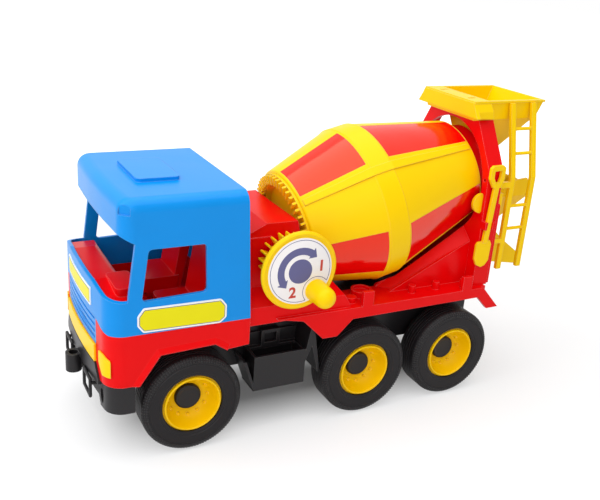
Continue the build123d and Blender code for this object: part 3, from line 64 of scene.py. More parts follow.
# %% [markdown]
# ## The camera
#
# The truck is seen from its front left and from above. A camera can be placed by typing three
# rotation angles, but it is easier to think of where it stands and which way it looks: so many
# degrees round from the truck's side, so many degrees down, and a slight roll.

# %% Place the camera
CAMERA_PLACE = Vector((-164.7, -496.9, 329.4)) * MM
CAMERA_TURN, CAMERA_DOWN, CAMERA_ROLL = (math.radians(a) for a in (28.34, 21.08, 4.31))
CAMERA_LENS, CAMERA_SENSOR = 48.56, 36.0
CAMERA_NEAREST = 0.01


def place_camera():
    data = bpy.data.cameras.new("camera")
    data.lens, data.sensor_width, data.clip_start = CAMERA_LENS, CAMERA_SENSOR, CAMERA_NEAREST
    camera = bpy.data.objects.new("camera", data)
    scene.collection.objects.link(camera)
    level = math.cos(CAMERA_DOWN)
    look = Vector((math.sin(CAMERA_TURN) * level, math.cos(CAMERA_TURN) * level, -math.sin(CAMERA_DOWN)))
    turn = look.to_track_quat("-Z", "Y") @ Quaternion((0, 0, 1), CAMERA_ROLL)
    camera.matrix_world = Matrix.LocRotScale(CAMERA_PLACE, turn, None)
    scene.camera = camera


place_camera()
print("camera at", tuple(round(c, 3) for c in CAMERA_PLACE))

# %% [markdown]
# ## Arithmetic for shaders
#
# A finish in Blender is a graph of nodes. Wiring one by hand takes a line for every node and every
# link, and the formula behind it gets lost. Python lets a class say what + or * means, so Wire
# stands for one output of a node, and an expression on wires adds the Math nodes for it. The forms
# with r, such as __rsub__, are what Python calls for 1 - mask, where the number comes first.

# %% Wires that do sums
class Wire:
    """One output of a node in a graph. Sums on it add Math nodes."""

    def __init__(self, graph, socket):
        self.graph, self.socket = graph, socket

    def sum(self, operation, *values):
        return self.graph.node("ShaderNodeMath", {"operation": operation}, dict(enumerate(values)))

    def __add__(self, other):
        return self.sum("ADD", self, other)

    def __radd__(self, other):
        return self.sum("ADD", other, self)

    def __sub__(self, other):
        return self.sum("SUBTRACT", self, other)

    def __rsub__(self, other):
        return self.sum("SUBTRACT", other, self)

    def __mul__(self, other):
        return self.sum("MULTIPLY", self, other)

    def __rmul__(self, other):
        return self.sum("MULTIPLY", other, self)

    def __truediv__(self, other):
        return self.sum("DIVIDE", self, other)

    def __rtruediv__(self, other):
        return self.sum("DIVIDE", other, self)

    def __abs__(self):
        return self.sum("ABSOLUTE", self)

    def within_unit(self):
        """The value held between 0 and 1."""
        return self.graph.node("ShaderNodeClamp", {}, {"Value": self})


print("wires can be added, subtracted, multiplied and divided")

# %% [markdown]
# ## Graphs and finishes
#
# Graph wraps one tree of nodes. Its node() takes a node's type, the settings that aren't sockets, and
# what goes into the sockets: a number, a colour or a wire. Settings come first, because some of them,
# such as the kind of data a Mix node takes, decide which sockets there are. Colours are mixed with a
# Mix node, since a Math node would turn them grey. Finish is a graph that belongs to a new material.

# %% Make graphs and finishes
def srgb(red, green, blue):
    """A colour given as it looks on a screen, 0 to 255, turned into the linear light Blender uses."""
    return tuple(c / 255 / 12.92 if c <= 10 else ((c / 255 + 0.055) / 1.055) ** 2.4
                 for c in (red, green, blue)) + (1.0,)


class Graph:
    """A tree of nodes in the making."""

    def __init__(self, tree):
        self.tree = tree

    def node(self, kind, settings=None, inputs=None, output=0):
        made = self.tree.nodes.new(kind)
        for setting, value in (settings or {}).items():
            setattr(made, setting, value)
        for socket, value in (inputs or {}).items():
            self.feed(made.inputs[socket], value)
        return Wire(self, made.outputs[output])

    def feed(self, socket, value):
        if isinstance(value, Wire):
            self.tree.links.new(value.socket, socket)
        else:
            socket.default_value = value

    def mix(self, mask, low, high):
        """The colour low where the mask is 0, and high where it is 1."""
        return self.node("ShaderNodeMix", {"data_type": "RGBA"}, {0: mask, 6: low, 7: high}, output=2)

    def noise(self, place, scale, detail=2.0, distortion=0.0):
        return self.node("ShaderNodeTexNoise", {}, {"Vector": place, "Scale": scale, "Detail": detail,
                                                     "Distortion": distortion})


class Finish(Graph):
    """A material in the making."""

    def __init__(self, name):
        self.material = bpy.data.materials.new(name)
        self.material.use_nodes = True
        super().__init__(self.material.node_tree)

    def surface(self, sockets):
        """Feeds the shader's sockets, by their names."""
        shader = self.tree.nodes["Principled BSDF"]
        for name, value in sockets.items():
            self.feed(shader.inputs[name], value)


print("white on a screen is", srgb(255, 255, 255), "and mid grey is", srgb(128, 128, 128))

# %% [markdown]
# ## Moulded plastic
#
# Nearly the whole toy is injection moulded. Such plastic looks plain at first, and yet a single flat
# colour looks like nothing at all. What tells the eye that it is plastic is small: the colour drifts
# a little where the melt flowed, the surface has a fine grain from the mould, thin walls sink very
# slightly so that reflections bend, and the sharp edges are rounded and paler. All of it comes
# from noise in Object coordinates, which stay with the piece. The rounding comes from a Bevel node,
# which bends the light at an edge and leaves the mesh alone, so it can also be used on CAD pieces.
# Where that node bends the normal away from the face is an edge, and there the colour is painted
# paler: partly wear from handling, and partly a painted highlight such as a rounded edge catches.

# %% Write the plastic recipe
FLOW_SCALE, GRAIN_SCALE, SINK_SCALE, SCUFF_SCALE = 34.0, 1500.0, 26.0, 420.0
GRAIN_HEIGHT, SINK_HEIGHT, SCUFF_HEIGHT = 0.012, 0.9, 0.01
BUMP_DISTANCE = MM * 0.4
PALE_EDGE_GAIN, PALE_EDGE_LEAST, PALE_EDGE_UNEVEN = 5.0, 0.6, 0.8
SCUFF_FROM, SCUFF_GAIN = 0.66, 8.0
PALE = 0.45
FLOW_ROUGHNESS, SCUFF_ROUGHNESS, FLOW_MIDDLE = 0.06, 0.12, 0.03


def shade_of(colour, factor):
    """The colour made darker or lighter by a factor, for mixing with itself."""
    return tuple(min(1.0, c * factor) for c in colour[:3]) + (1.0,)


def moulded(name, colour, roughness=0.3, drift=0.05, grain=1.0, sink=1.0, edge=0.6, rubbed_and_highlit=0.3,
            mirror=0.12, tint=(1, 1, 1, 1)):
    """A finish for a moulded piece.

    drift, grain and sink set three marks of moulding; the fourth sets paler edges, partly wear and
    partly a painted highlight. edge is the radius in millimetres that corners seem to have. mirror
    and tint are the strength and colour of reflections.
    """
    f = Finish(name)
    place = f.node("ShaderNodeTexCoord", output="Object")
    flow = f.noise(place, FLOW_SCALE, detail=3.0, distortion=0.6)
    fine = f.noise(place, GRAIN_SCALE, detail=2.0)
    slow = f.noise(place, SINK_SCALE, detail=1.0)
    scuff = f.noise(place, SCUFF_SCALE, detail=5.0, distortion=2.0)
    rounded = f.node("ShaderNodeBevel", {"samples": 5}, {"Radius": edge * MM})
    facing = f.node("ShaderNodeNewGeometry", output="Normal")
    level = f.node("ShaderNodeVectorMath", {"operation": "DOT_PRODUCT"}, {0: rounded, 1: facing},
                   output="Value")
    # Painted highlight with wear: where the Bevel normal bends away from the face, the colour is mixed
    # towards pale, partly as wear from handling and partly as a highlight painted on the rounded edge.
    bend = 1 - level
    rub_and_highlight = (bend * PALE_EDGE_GAIN * rubbed_and_highlit * (PALE_EDGE_LEAST + scuff * PALE_EDGE_UNEVEN)).within_unit()
    body = f.mix(flow, shade_of(colour, 1 - drift), shade_of(colour, 1 + drift))
    pale = tuple(c * (1 - PALE) + PALE for c in colour[:3]) + (1.0,)
    marks = ((scuff - SCUFF_FROM) * SCUFF_GAIN).within_unit()
    height = fine * GRAIN_HEIGHT * grain + slow * SINK_HEIGHT * sink + marks * SCUFF_HEIGHT
    bump = f.node("ShaderNodeBump", {}, {"Strength": 1.0, "Distance": BUMP_DISTANCE, "Height": height,
                                         "Normal": rounded})
    rough = roughness + flow * FLOW_ROUGHNESS + marks * SCUFF_ROUGHNESS - FLOW_MIDDLE
    f.surface({"Base Color": f.mix(rub_and_highlight, body, pale), "Normal": bump, "Roughness": rough.within_unit(),
               "Specular IOR Level": mirror, "Specular Tint": tint})
    return f.material


print("corners seem rounded by a radius, and a rubbed edge is", PALE, "of the way to white")

# %% [markdown]
# ## The finishes of this truck
#
# One recipe serves every moulding, and only the numbers differ. The blue cab and the red deck have a
# satin shine, the drum's red panels are polished and mirror what stands round them, and the rubbery
# tyres are dull and coarse. Stickers and prints are flat and unworn, without the paler edges that are
# partly wear and partly a painted highlight. The axles are bright steel, which has a recipe of its own.

# %% Mix the finishes
PLAIN = {"sink": 0.3, "edge": 0.1, "rubbed_and_highlit": 0.0}
RECIPES = {
    "blue_plastic": {"colour": srgb(0, 143, 228), "roughness": 0.3, "drift": 0.04, "edge": 0.9,
                     "rubbed_and_highlit": 0.12, "mirror": 0.2},
    "red_plastic": {"colour": srgb(234, 4, 8), "roughness": 0.3, "drift": 0.05, "edge": 0.6, "rubbed_and_highlit": 0.2},
    "red_gloss": {"colour": srgb(240, 6, 4), "roughness": 0.13, "drift": 0.03, "sink": 2.0, "edge": 0.3,
                  "rubbed_and_highlit": 0.2, "mirror": 1.0, "tint": srgb(255, 196, 150)},
    "yellow_plastic": {"colour": srgb(255, 209, 0), "roughness": 0.33, "drift": 0.03, "edge": 0.9,
                       "rubbed_and_highlit": 0.12},
    "rim_yellow": {"colour": srgb(252, 200, 0), "roughness": 0.34, "drift": 0.05, "edge": 0.4,
                   "rubbed_and_highlit": 0.25},
    "black_plastic": {"colour": srgb(27, 25, 27), "roughness": 0.36, "drift": 0.12, "grain": 2.0,
                      "edge": 0.5, "rubbed_and_highlit": 0.12, "mirror": 0.3},
    "tyre_black": {"colour": srgb(26, 23, 25), "roughness": 0.46, "drift": 0.12, "grain": 4.0,
                   "edge": 0.3, "rubbed_and_highlit": 0.1, "mirror": 0.22},
    "sticker_front": {"colour": srgb(250, 250, 245), "roughness": 0.3, **PLAIN},
    "sticker_side": {"colour": srgb(250, 250, 245), "roughness": 0.3, **PLAIN},
    "label_print": {"colour": srgb(246, 242, 242), "roughness": 0.35, **PLAIN},
    "print_grey": {"colour": srgb(104, 104, 148), "roughness": 0.4, "drift": 0.06, **PLAIN},
    "print_red": {"colour": srgb(196, 74, 62), "roughness": 0.4, "drift": 0.06, **PLAIN},
    "print_yellow": {"colour": srgb(236, 226, 20), "roughness": 0.32, **PLAIN},
}
finishes = {name: moulded(name, **recipe) for name, recipe in RECIPES.items()}

ROD_STRETCH = (300.0, 9000.0, 300.0)
ROD_GROOVE, ROD_BUMP = MM * 0.05, 0.4
ROD_SMOOTHEST, ROD_UNEVEN = 0.22, 0.15


def bright_steel():
    """Drawn steel rod: fine lines round the axle, which runs along Y."""
    f = Finish("steel")
    place = f.node("ShaderNodeTexCoord", output="Object")
    stretched = f.node("ShaderNodeMapping", {}, {"Vector": place, "Scale": ROD_STRETCH})
    lines = f.noise(stretched, 1.0, detail=3.0)
    bump = f.node("ShaderNodeBump", {}, {"Strength": ROD_BUMP, "Distance": ROD_GROOVE, "Height": lines})
    f.surface({"Base Color": f.mix(lines, srgb(160, 162, 168), srgb(205, 207, 212)), "Metallic": 1.0,
               "Roughness": lines * ROD_UNEVEN + ROD_SMOOTHEST, "Normal": bump})
    return f.material


finishes["steel"] = bright_steel()
print("finishes:", sorted(finishes))

# %% [markdown]
# ## Paint the CAD pieces
#
# Each CAD node names a material slot in the record. A node keeps its mesh as it is, and only what
# sits in its material slot changes.

# %% Give each CAD node its finish
slot_of = {part["node"]: part["material_slot"] for part in frame["record"]["subparts"]}
for name, node in nodes.items():
    node.data.materials.clear()
    node.data.materials.append(finishes[slot_of[name]])
print("painted", len(slot_of), "CAD nodes")

# %% [markdown]
# ## Tools for new pieces
#
# A round piece is easiest as a lathe job: draw half of its section, then spin it. The normals of a
# finished piece are worked out again last, because spinning can turn a shape inside out.

# %% Spin a section, and finish a piece
MERGE = MM * 0.001


def lathe(bm, outline, centre, axis, steps, closed=True):
    """Spins an outline of (radius, distance along the axis), in millimetres, right round."""
    axis = Vector(axis)
    across = Vector((0, 0, 1)) if abs(axis.z) < 0.5 else Vector((1, 0, 0))
    across = (across - axis * across.dot(axis)).normalized()
    points = [bm.verts.new(centre + (across * r + axis * d) * MM) for r, d in outline]
    pairs = list(zip(points, points[1:])) + ([(points[-1], points[0])] if closed else [])
    edges = [bm.edges.new(pair) for pair in pairs]
    bmesh.ops.spin(bm, geom=points + edges, cent=centre, axis=axis, dvec=(0, 0, 0), angle=math.tau,
                   steps=steps, use_merge=True, use_duplicate=False)
    bmesh.ops.remove_doubles(bm, verts=bm.verts, dist=MERGE)


def piece(bm, name, body, finish, replaces=(), sharp=40.0):
    """Turns the bmesh into a named piece that rides on a body of the truck."""
    bmesh.ops.recalc_face_normals(bm, faces=bm.faces)
    mesh = bpy.data.meshes.new(name)
    bm.to_mesh(mesh)
    bm.free()
    mesh.materials.append(finishes[finish])
    mesh.polygons.foreach_set("use_smooth", [True] * len(mesh.polygons))
    mesh.set_sharp_from_angle(angle=math.radians(sharp))
    made = bpy.data.objects.new(name, mesh)
    scene.collection.objects.link(made)
    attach(made, body)
    if replaces:
        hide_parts(*replaces)
    print(f"{name}: {len(mesh.polygons)} faces")


# %% [markdown]
# ## Tyres
#
# A toy tyre is one hollow ring of soft black plastic. Its sidewall is flat, with a fine step near the
# edge, then comes a shoulder with over a hundred short ribs, and the tread has grooves round it. The
# ribs could be a bump texture, but they break the outline against the light floor, so they are real:
# every second face of the shoulder is inset and raised.

# %% Make the tyres
SIDES = {"left": -1, "right": 1}
WHEELS = [(row, side) for row in ("front", "middle", "rear") for side in SIDES]
TYRE_WIDTH = 23.0
GROOVES, GROOVE_PITCH, GROOVE_FIRST = 5, 2.6, 6.3
GROOVE_TOP, GROOVE_FLOOR, GROOVE_DEPTH = 0.5, 0.35, 0.9
RIBS = 108
RIB_RADII, RIB_DEPTH = (31.2, 34.6), 3.0
RIB_INSET, RIB_RAISE = 0.12, 0.32


def wheel_place(row, side):
    """Centre of the wheel's outer face, and the direction it faces."""
    low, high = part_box(f"tyre_{row}_{side}")
    outer = low.y if side == "left" else high.y
    return Vector(((low.x + high.x) / 2, outer, (low.z + high.z) / 2)), Vector((0, SIDES[side], 0))


def tyre_outline(edge):
    """The tyre's section: sidewall, shoulder, grooved tread, and back again behind the wheel."""
    sidewall = [(21.0, -1.3), (21.6, -0.7), (22.6, -0.35), (23.4, -0.6), (24.0, -0.1), (25.0, 0.0),
                (29.4, 0.0), (29.9, -0.4), (30.5, -0.4), (30.9, -0.05)]
    shoulder = [(31.9, -0.25), (33.2, -1.1), (34.2, -2.2), (34.75, -3.4)]
    tread = [(edge, -4.2)]
    floor_of_groove = edge - GROOVE_DEPTH
    for i in range(GROOVES):
        middle = -GROOVE_FIRST - GROOVE_PITCH * i
        tread += [(edge, middle + GROOVE_TOP), (floor_of_groove, middle + GROOVE_FLOOR),
                  (floor_of_groove, middle - GROOVE_FLOOR), (edge, middle - GROOVE_TOP)]
    back = [(edge, 4.2 - TYRE_WIDTH), (34.2, 2.2 - TYRE_WIDTH), (33.0, 1.0 - TYRE_WIDTH),
            (30.0, -TYRE_WIDTH), (24.0, -TYRE_WIDTH), (21.0, 1.0 - TYRE_WIDTH)]
    return sidewall + shoulder + tread + back


def is_rib(face, centre, out):
    """True for every second face of the outer shoulder."""
    middle = face.calc_center_median() - centre
    depth = -middle.dot(out) / MM
    radius = (middle - out * middle.dot(out)).length / MM
    turn = math.atan2(middle.z, middle.x) / math.tau * RIBS
    return RIB_RADII[0] < radius < RIB_RADII[1] and depth < RIB_DEPTH and turn % 1.0 < 0.5


def tyre(row, side):
    centre, out = wheel_place(row, side)
    low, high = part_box(f"tyre_{row}_{side}")
    bm = bmesh.new()
    lathe(bm, tyre_outline((high.z - low.z) / MM / 2), centre, out, RIBS * 2)
    ribs = [face for face in bm.faces if is_rib(face, centre, out)]
    bmesh.ops.recalc_face_normals(bm, faces=bm.faces)
    bmesh.ops.inset_individual(bm, faces=ribs, thickness=RIB_INSET * MM, depth=RIB_RAISE * MM,
                               use_even_offset=True)
    piece(bm, f"ribbed_tyre_{row}_{side}", f"wheels_{row}", "tyre_black",
          [f"tyre_{row}_{side}"], sharp=32.0)


for row, side in WHEELS:
    tyre(row, side)

# %% [markdown]
# ## Rims and hub caps
#
# The yellow rim is a deep dish with a rolled lip, a narrow gap between the lip and the tyre, and a
# ring of small round studs near the hub. The black cap in the middle carries a raised ring and hides
# the end of the axle. Both are lathe jobs, and the studs are small spheres, let halfway into the dish.

# %% Make the rims and caps
RIM_STEPS, CAP_STEPS = 96, 64
STUDS, STUD_RADIUS, STUD_RING, STUD_DEPTH = 12, 1.25, 13.7, 11.3


def rim(row, side):
    centre, out = wheel_place(row, side)
    lip = [(20.9, -2.7), (19.8, -2.7), (19.8, -0.9), (19.5, -0.45), (19.0, -0.3), (18.5, -0.6)]
    dish = [(18.2, -1.4), (17.8, -3.2), (17.0, -5.8), (15.7, -8.4), (14.2, -10.6), (12.6, -12.2),
            (10.4, -13.2), (2.5, -13.2)]
    back = [(2.5, -22.3), (7.0, -22.3), (7.0, -15.0), (11.3, -15.0), (15.4, -13.2), (18.9, -9.2),
            (19.2, -21.6), (20.9, -21.6)]
    bm = bmesh.new()
    lathe(bm, lip + dish + back, centre, out, RIM_STEPS)
    for i in range(STUDS):
        turn = Matrix.Rotation(math.tau * i / STUDS, 4, out)
        spot = centre - out * STUD_DEPTH * MM + turn @ Vector((0, 0, STUD_RING * MM))
        bmesh.ops.create_uvsphere(bm, u_segments=20, v_segments=10, radius=STUD_RADIUS * MM,
                                  matrix=Matrix.Translation(spot))
    piece(bm, f"dished_rim_{row}_{side}", f"wheels_{row}", "rim_yellow", [f"rim_{row}_{side}"])


def hub_cap(row, side):
    centre, out = wheel_place(row, side)
    face = [(0.0, -10.85), (6.3, -10.85), (6.9, -10.7), (7.4, -10.4), (8.1, -10.35), (8.8, -10.7)]
    rim_side = [(9.2, -11.5), (9.3, -13.2), (2.5, -13.2), (2.5, -11.8), (0.0, -11.8)]
    bm = bmesh.new()
    lathe(bm, face + rim_side, centre, out, CAP_STEPS, closed=False)
    piece(bm, f"domed_cap_{row}_{side}", f"wheels_{row}", "black_plastic",
          [f"hub_cap_{row}_{side}"])


for row, side in WHEELS:
    rim(row, side)
    hub_cap(row, side)

# %% [markdown]
# ## The crank's dial
#
# A white disc is stuck to the crank. A fine line runs round it and bends inwards round the knob, an
# arrow with two heads shows that the crank turns both ways, and a plain 1 and 2 stand at its ends.
# The prints are thin solid shapes, so they stay sharp however near one looks. An arc is an edge spun
# part of the way round, and the numbers are text, made a mesh before it is put in its place.

# %% Measure the dial, and write its tools
dial_low, dial_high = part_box("crank_label")
knob_low, knob_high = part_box("crank_knob")
DIAL = Vector(((dial_low.x + dial_high.x) / 2, dial_low.y, (dial_low.z + dial_high.z) / 2))
KNOB = Vector(((knob_low.x + knob_high.x) / 2, DIAL.y, (knob_low.z + knob_high.z) / 2))
PRINT_DEPTH = 0.06
ARC_STEP = 4


def at_angle(angle):
    """The direction on the dial's face at so many degrees from +X towards +Z."""
    a = math.radians(angle)
    return Vector((math.cos(a), 0, math.sin(a)))


def print_arc(bm, centre, r0, r1, start, sweep):
    """A flat arc strip round centre, from angle start over sweep degrees."""
    ends = [bm.verts.new(centre + at_angle(start) * r * MM) for r in (r0, r1)]
    edge = bm.edges.new(ends)
    bmesh.ops.spin(bm, geom=ends + [edge], cent=centre, axis=(0, -1, 0), dvec=(0, 0, 0),
                   angle=math.radians(sweep), steps=int(sweep / ARC_STEP), use_merge=False)


def thicken(bm):
    """Makes a flat print a thin solid that stands out to the left."""
    bmesh.ops.remove_doubles(bm, verts=bm.verts, dist=MERGE)
    grown = bmesh.ops.extrude_face_region(bm, geom=bm.faces[:])["geom"]
    raised = [v for v in grown if isinstance(v, bmesh.types.BMVert)]
    bmesh.ops.translate(bm, verts=raised, vec=(0, -PRINT_DEPTH * MM, 0))


print("dial at", tuple(DIAL), "knob", round((KNOB - DIAL).length / MM, 1), "mm from its middle")

# %% Print the dial
LABEL_R, LABEL_EASE, LABEL_DEPTH, LABEL_STEPS = 23.3, 0.25, 0.5, 144
LINE_RADII, LINE_START, LINE_SWEEP = (21.75, 22.15), -23.5, 307.0
BEND_RADII, BEND_START, BEND_SWEEP = (9.6, 10.0), 39.2, 181.6
ARROW_RADII, ARROW_START, ARROW_SWEEP = (11.7, 16.7), 57.0, 152.0
HEAD_RADII, HEAD_LENGTH = (10.2, 14.6, 18.7), 19.0
DOT_R = 8.6
NUMBER_HEIGHT, NUMBER_BOLD = 10.5, 0.35


def dial_face():
    """The white disc itself, with its edge eased over."""
    bm = bmesh.new()
    outline = [(0.0, 0.0), (LABEL_R - LABEL_EASE, 0.0), (LABEL_R, -0.12), (LABEL_R, -LABEL_DEPTH),
               (0.0, -LABEL_DEPTH)]
    lathe(bm, outline, DIAL, (0, -1, 0), LABEL_STEPS, closed=False)
    piece(bm, "dial_face", "crank", "label_print", ["crank_label"])


def dial_print(bm, name, finish):
    thicken(bm)
    piece(bm, name, "crank", finish)


def dial_line():
    bm = bmesh.new()
    print_arc(bm, DIAL, *LINE_RADII, LINE_START, LINE_SWEEP)
    print_arc(bm, KNOB, *BEND_RADII, BEND_START, BEND_SWEEP)
    dial_print(bm, "dial_line", "print_grey")


def dial_arrow():
    bm = bmesh.new()
    print_arc(bm, DIAL, *ARROW_RADII, ARROW_START, ARROW_SWEEP)
    inner, middle, outer = HEAD_RADII
    for root, length in ((ARROW_START, -HEAD_LENGTH), (ARROW_START + ARROW_SWEEP, HEAD_LENGTH)):
        corners = [bm.verts.new(DIAL + at_angle(a) * r * MM)
                   for r, a in ((inner, root), (middle, root + length), (outer, root))]
        bmesh.ops.contextual_create(bm, geom=corners)
    dial_print(bm, "dial_arrow", "print_grey")


def dial_dot():
    bm = bmesh.new()
    bmesh.ops.create_circle(bm, cap_ends=True, segments=72, radius=DOT_R * MM,
                            matrix=Matrix.Translation(DIAL) @ Matrix.Rotation(math.pi / 2, 4, "X"))
    dial_print(bm, "dial_dot", "print_grey")


def dial_number(text, radius, angle):
    """A number in the plain built-in face, standing upright on the dial."""
    name = "dial_number_" + text
    curve = bpy.data.curves.new(name, "FONT")
    curve.body, curve.size, curve.align_x, curve.align_y = text, NUMBER_HEIGHT * MM, "CENTER", "CENTER"
    curve.offset = NUMBER_BOLD * MM
    shaped = bpy.data.objects.new(name + "_text", curve)
    scene.collection.objects.link(shaped)
    bpy.context.view_layer.update()
    flat = bpy.data.meshes.new_from_object(shaped)
    bpy.data.objects.remove(shaped)
    bm = bmesh.new()
    bm.from_mesh(flat)
    place = DIAL + at_angle(angle) * radius * MM
    upright = Matrix.Translation(place) @ Matrix.Rotation(math.pi / 2, 4, "X")
    bmesh.ops.transform(bm, matrix=upright, verts=bm.verts)
    dial_print(bm, name, "print_red")


dial_face()
dial_line()
dial_arrow()
dial_dot()
dial_number("1", 15.6, 8.0)
dial_number("2", 15.8, 252.0)

# %% [markdown]
# ## The knob
#
# The knob is held between two fingers, so it is smooth all over: a slightly tapered post with a
# round end. A lathe gives it in one go, with many steps, because its outline is seen up close.

# %% Turn the knob
KNOB_STEM_R, KNOB_FOOT_R, KNOB_TIP_R = 4.0, 7.9, 7.3
KNOB_LENGTH, KNOB_DOME, KNOB_STEPS = 20.5, 6.5, 72


def knob():
    foot = Vector((KNOB.x, knob_high.y, KNOB.z))
    tip = (foot.y - knob_low.y) / MM
    seat = tip - KNOB_LENGTH
    post = [(0.0, 0.0), (KNOB_STEM_R, 0.0), (KNOB_STEM_R, seat), (KNOB_FOOT_R, seat),
            (KNOB_FOOT_R - 0.05, seat + 0.6), (KNOB_TIP_R, tip - KNOB_DOME)]
    dome = [(KNOB_TIP_R * math.cos(math.radians(a)), tip - KNOB_DOME * (1 - math.sin(math.radians(a))))
            for a in range(10, 91, 8)]
    bm = bmesh.new()
    lathe(bm, post + dome + [(0.0, tip)], foot, (0, -1, 0), KNOB_STEPS, closed=False)
    piece(bm, "round_knob", "crank", "yellow_plastic", ["crank_knob"])


knob()

# %% [markdown]
# ## Plates on the cab
#
# The toy wears three plates, one on each side and one in front. They are left plain here: a white
# plate, a fine grey line and a yellow field. Both layers are cut from the plate itself. A copy of the
# CAD plate is merged, its outer face is kept, the face is inset, and the ring that the inset leaves is
# thrown away. So a layer follows the plate's outline and its bow, whatever they are.

# %% Lay the fields on the plates
PLATES = {"side_plate_left": (0, -1, 0), "side_plate_right": (0, 1, 0), "front_plate": (-1, 0, 0)}
PLATE_MERGE = MM * 0.002
FACING = 0.9
NEARLY_FLAT = math.radians(0.4)
LINE_MARGIN, LINE_LIFT = 1.1, 0.05
FIELD_MARGIN, FIELD_LIFT = 1.55, 0.10
BURIED = 0.05


def plate_layer(node, name, outward, margin, lift, finish):
    """A thin layer over the outward face of a plate, smaller all round by a margin."""
    outward = Vector(outward)
    bm = bmesh.new()
    bm.from_mesh(nodes[node].data)
    bmesh.ops.remove_doubles(bm, verts=bm.verts, dist=PLATE_MERGE)
    bm.normal_update()
    inward = [f for f in bm.faces if f.normal.dot(outward) < FACING]
    bmesh.ops.delete(bm, geom=inward, context="FACES")
    bmesh.ops.dissolve_limit(bm, angle_limit=NEARLY_FLAT, verts=bm.verts, edges=bm.edges)
    ring = bmesh.ops.inset_region(bm, faces=bm.faces[:], thickness=margin * MM, use_boundary=True,
                                  use_even_offset=True)["faces"]
    bmesh.ops.delete(bm, geom=ring, context="FACES")
    bmesh.ops.translate(bm, verts=bm.verts, vec=outward * lift * MM)
    grown = bmesh.ops.extrude_face_region(bm, geom=bm.faces[:])["geom"]
    buried = [v for v in grown if isinstance(v, bmesh.types.BMVert)]
    bmesh.ops.translate(bm, verts=buried, vec=outward * -(lift + BURIED) * MM)
    piece(bm, name, "truck", finish)


for node, outward in PLATES.items():
    plate_layer(node, node + "_line", outward, LINE_MARGIN, LINE_LIFT, "print_grey")
    plate_layer(node, node + "_field", outward, FIELD_MARGIN, FIELD_LIFT, "print_yellow")

# %% [markdown]
# ## The floor and the room
#
# The truck stands on a white sheet that runs on without an end, as in a light tent. The floor has to
# be white to the camera and still keep the truck's shadow. So it is a plain matt sheet,
# and part of its white comes from a glow that only camera, mirror and glass rays see: where the
# truck's shadow falls, the matt part darkens and the glow stays. The glow stands for the light of the
# white room. Over a box under the truck, between the wheels, it is cut down, and that is a painted
# shadow, laid where the room's light wouldn't reach. Far away the glow grows to full white, where the
# floor meets the background. The world round the floor is white to the same rays, and dimmer for all
# others, so that the room's light is soft and not too strong.

# %% Set the stage
GLOW = 0.5
SEEN_FLOOR, BOUNCING_FLOOR = srgb(190, 190, 191), srgb(235, 235, 235)
FAR_FROM, FAR_GAIN = 0.4, 2.0
FLOOR_REACH, FLOOR_GAP = 4.0, 0.0001
# The box of the painted shadow under the truck, how far it fades out, and how much glow it takes away.
PAINTED_SHADOW_X, PAINTED_SHADOW_Y = (-0.010, 0.215), (-0.012, 0.012)
PAINTED_SHADOW_FADE, PAINTED_SHADOW_STRENGTH = 0.04, 0.87
AMBIENT = 0.36


def seen_directly(graph):
    """1 for camera, mirror and glass rays, 0 for the light that surfaces throw on each other."""
    camera, glossy, glass = (graph.node("ShaderNodeLightPath", output=f"Is {kind} Ray")
                             for kind in ("Camera", "Glossy", "Transmission"))
    return (camera + glossy + glass).within_unit()


def within(along, span):
    """1 between the two ends of the span, fading to 0 outside them."""
    middle, half = sum(span) / 2, (span[1] - span[0]) / 2
    return ((half - abs(along - middle)) / PAINTED_SHADOW_FADE + 1).within_unit()


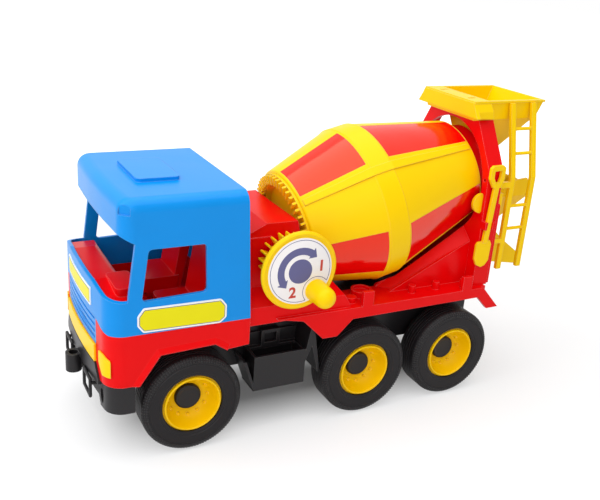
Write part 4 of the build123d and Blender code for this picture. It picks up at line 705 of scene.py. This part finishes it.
def white_floor():
    f = Finish("white_floor")
    direct = seen_directly(f)
    place = f.node("ShaderNodeTexCoord", output="Object")
    away = f.node("ShaderNodeVectorMath", {"operation": "LENGTH"}, {0: place}, output="Value")
    far = ((away - FAR_FROM) * FAR_GAIN).within_unit()
    x, y = (f.node("ShaderNodeSeparateXYZ", {}, {"Vector": place}, output=axis) for axis in "XY")
    # Painted shadow: over a box under the truck, between the wheels, the floor's glow is cut down.
    glow_after_painted_shadow = 1 - within(x, PAINTED_SHADOW_X) * within(y, PAINTED_SHADOW_Y) * PAINTED_SHADOW_STRENGTH
    bright = (far * (1 - GLOW) + GLOW) * glow_after_painted_shadow
    sheet = f.node("ShaderNodeBsdfDiffuse", {}, {"Color": f.mix(direct, BOUNCING_FLOOR, SEEN_FLOOR)})
    glow = f.node("ShaderNodeEmission", {}, {"Color": (1, 1, 1, 1), "Strength": direct * bright})
    both = f.node("ShaderNodeAddShader", {}, {0: sheet, 1: glow})
    f.feed(f.tree.nodes["Material Output"].inputs["Surface"], both)
    return f.material


def lay_floor():
    bm = bmesh.new()
    bmesh.ops.create_grid(bm, x_segments=8, y_segments=8, size=FLOOR_REACH)
    mesh = bpy.data.meshes.new("floor")
    bm.to_mesh(mesh)
    bm.free()
    mesh.materials.append(white_floor())
    floor = bpy.data.objects.new("floor", mesh)
    floor.location.z = -FLOOR_GAP
    scene.collection.objects.link(floor)


def white_world():
    world = bpy.data.worlds.new("world")
    world.use_nodes = True
    scene.world = world
    room = Graph(world.node_tree)
    background = room.tree.nodes["Background"]
    background.inputs["Color"].default_value = (1, 1, 1, 1)
    room.feed(background.inputs["Strength"], seen_directly(room) * (1 - AMBIENT) + AMBIENT)


lay_floor()
white_world()
print("the floor glows with", GLOW, "of white, and the room lights the truck with", AMBIENT)

# %% [markdown]
# ## The lamps
#
# The light is soft and even, from a large panel overhead and two smaller, weaker ones, one beside the
# camera and one ahead of the truck. The plastics mirror those panels, and that is what shows how
# glossy they are. The colours stay as they are mixed, because the view transform is Standard.

# %% Hang the lamps
def panel_lamp(name, place, aim, width, height, watts):
    """An oblong soft box, turned to face a point."""
    data = bpy.data.lights.new(name, "AREA")
    data.shape, data.size, data.size_y, data.energy = "RECTANGLE", width, height, watts
    lamp = bpy.data.objects.new(name, data)
    scene.collection.objects.link(lamp)
    lamp.location = place
    lamp.rotation_euler = (Vector(aim) - Vector(place)).to_track_quat("-Z", "Y").to_euler()


TRUCK_MIDDLE = (0.11, 0.0, 0.1)
panel_lamp("overhead", (-0.1, -0.05, 1.3), TRUCK_MIDDLE, 1.8, 1.8, 19.0)
panel_lamp("beside_camera", (-0.5, -1.3, 0.7), TRUCK_MIDDLE, 1.2, 0.9, 5.0)
panel_lamp("ahead", (-1.1, 0.1, 0.75), TRUCK_MIDDLE, 1.0, 0.8, 5.0)
scene.view_settings.view_transform = "Standard"
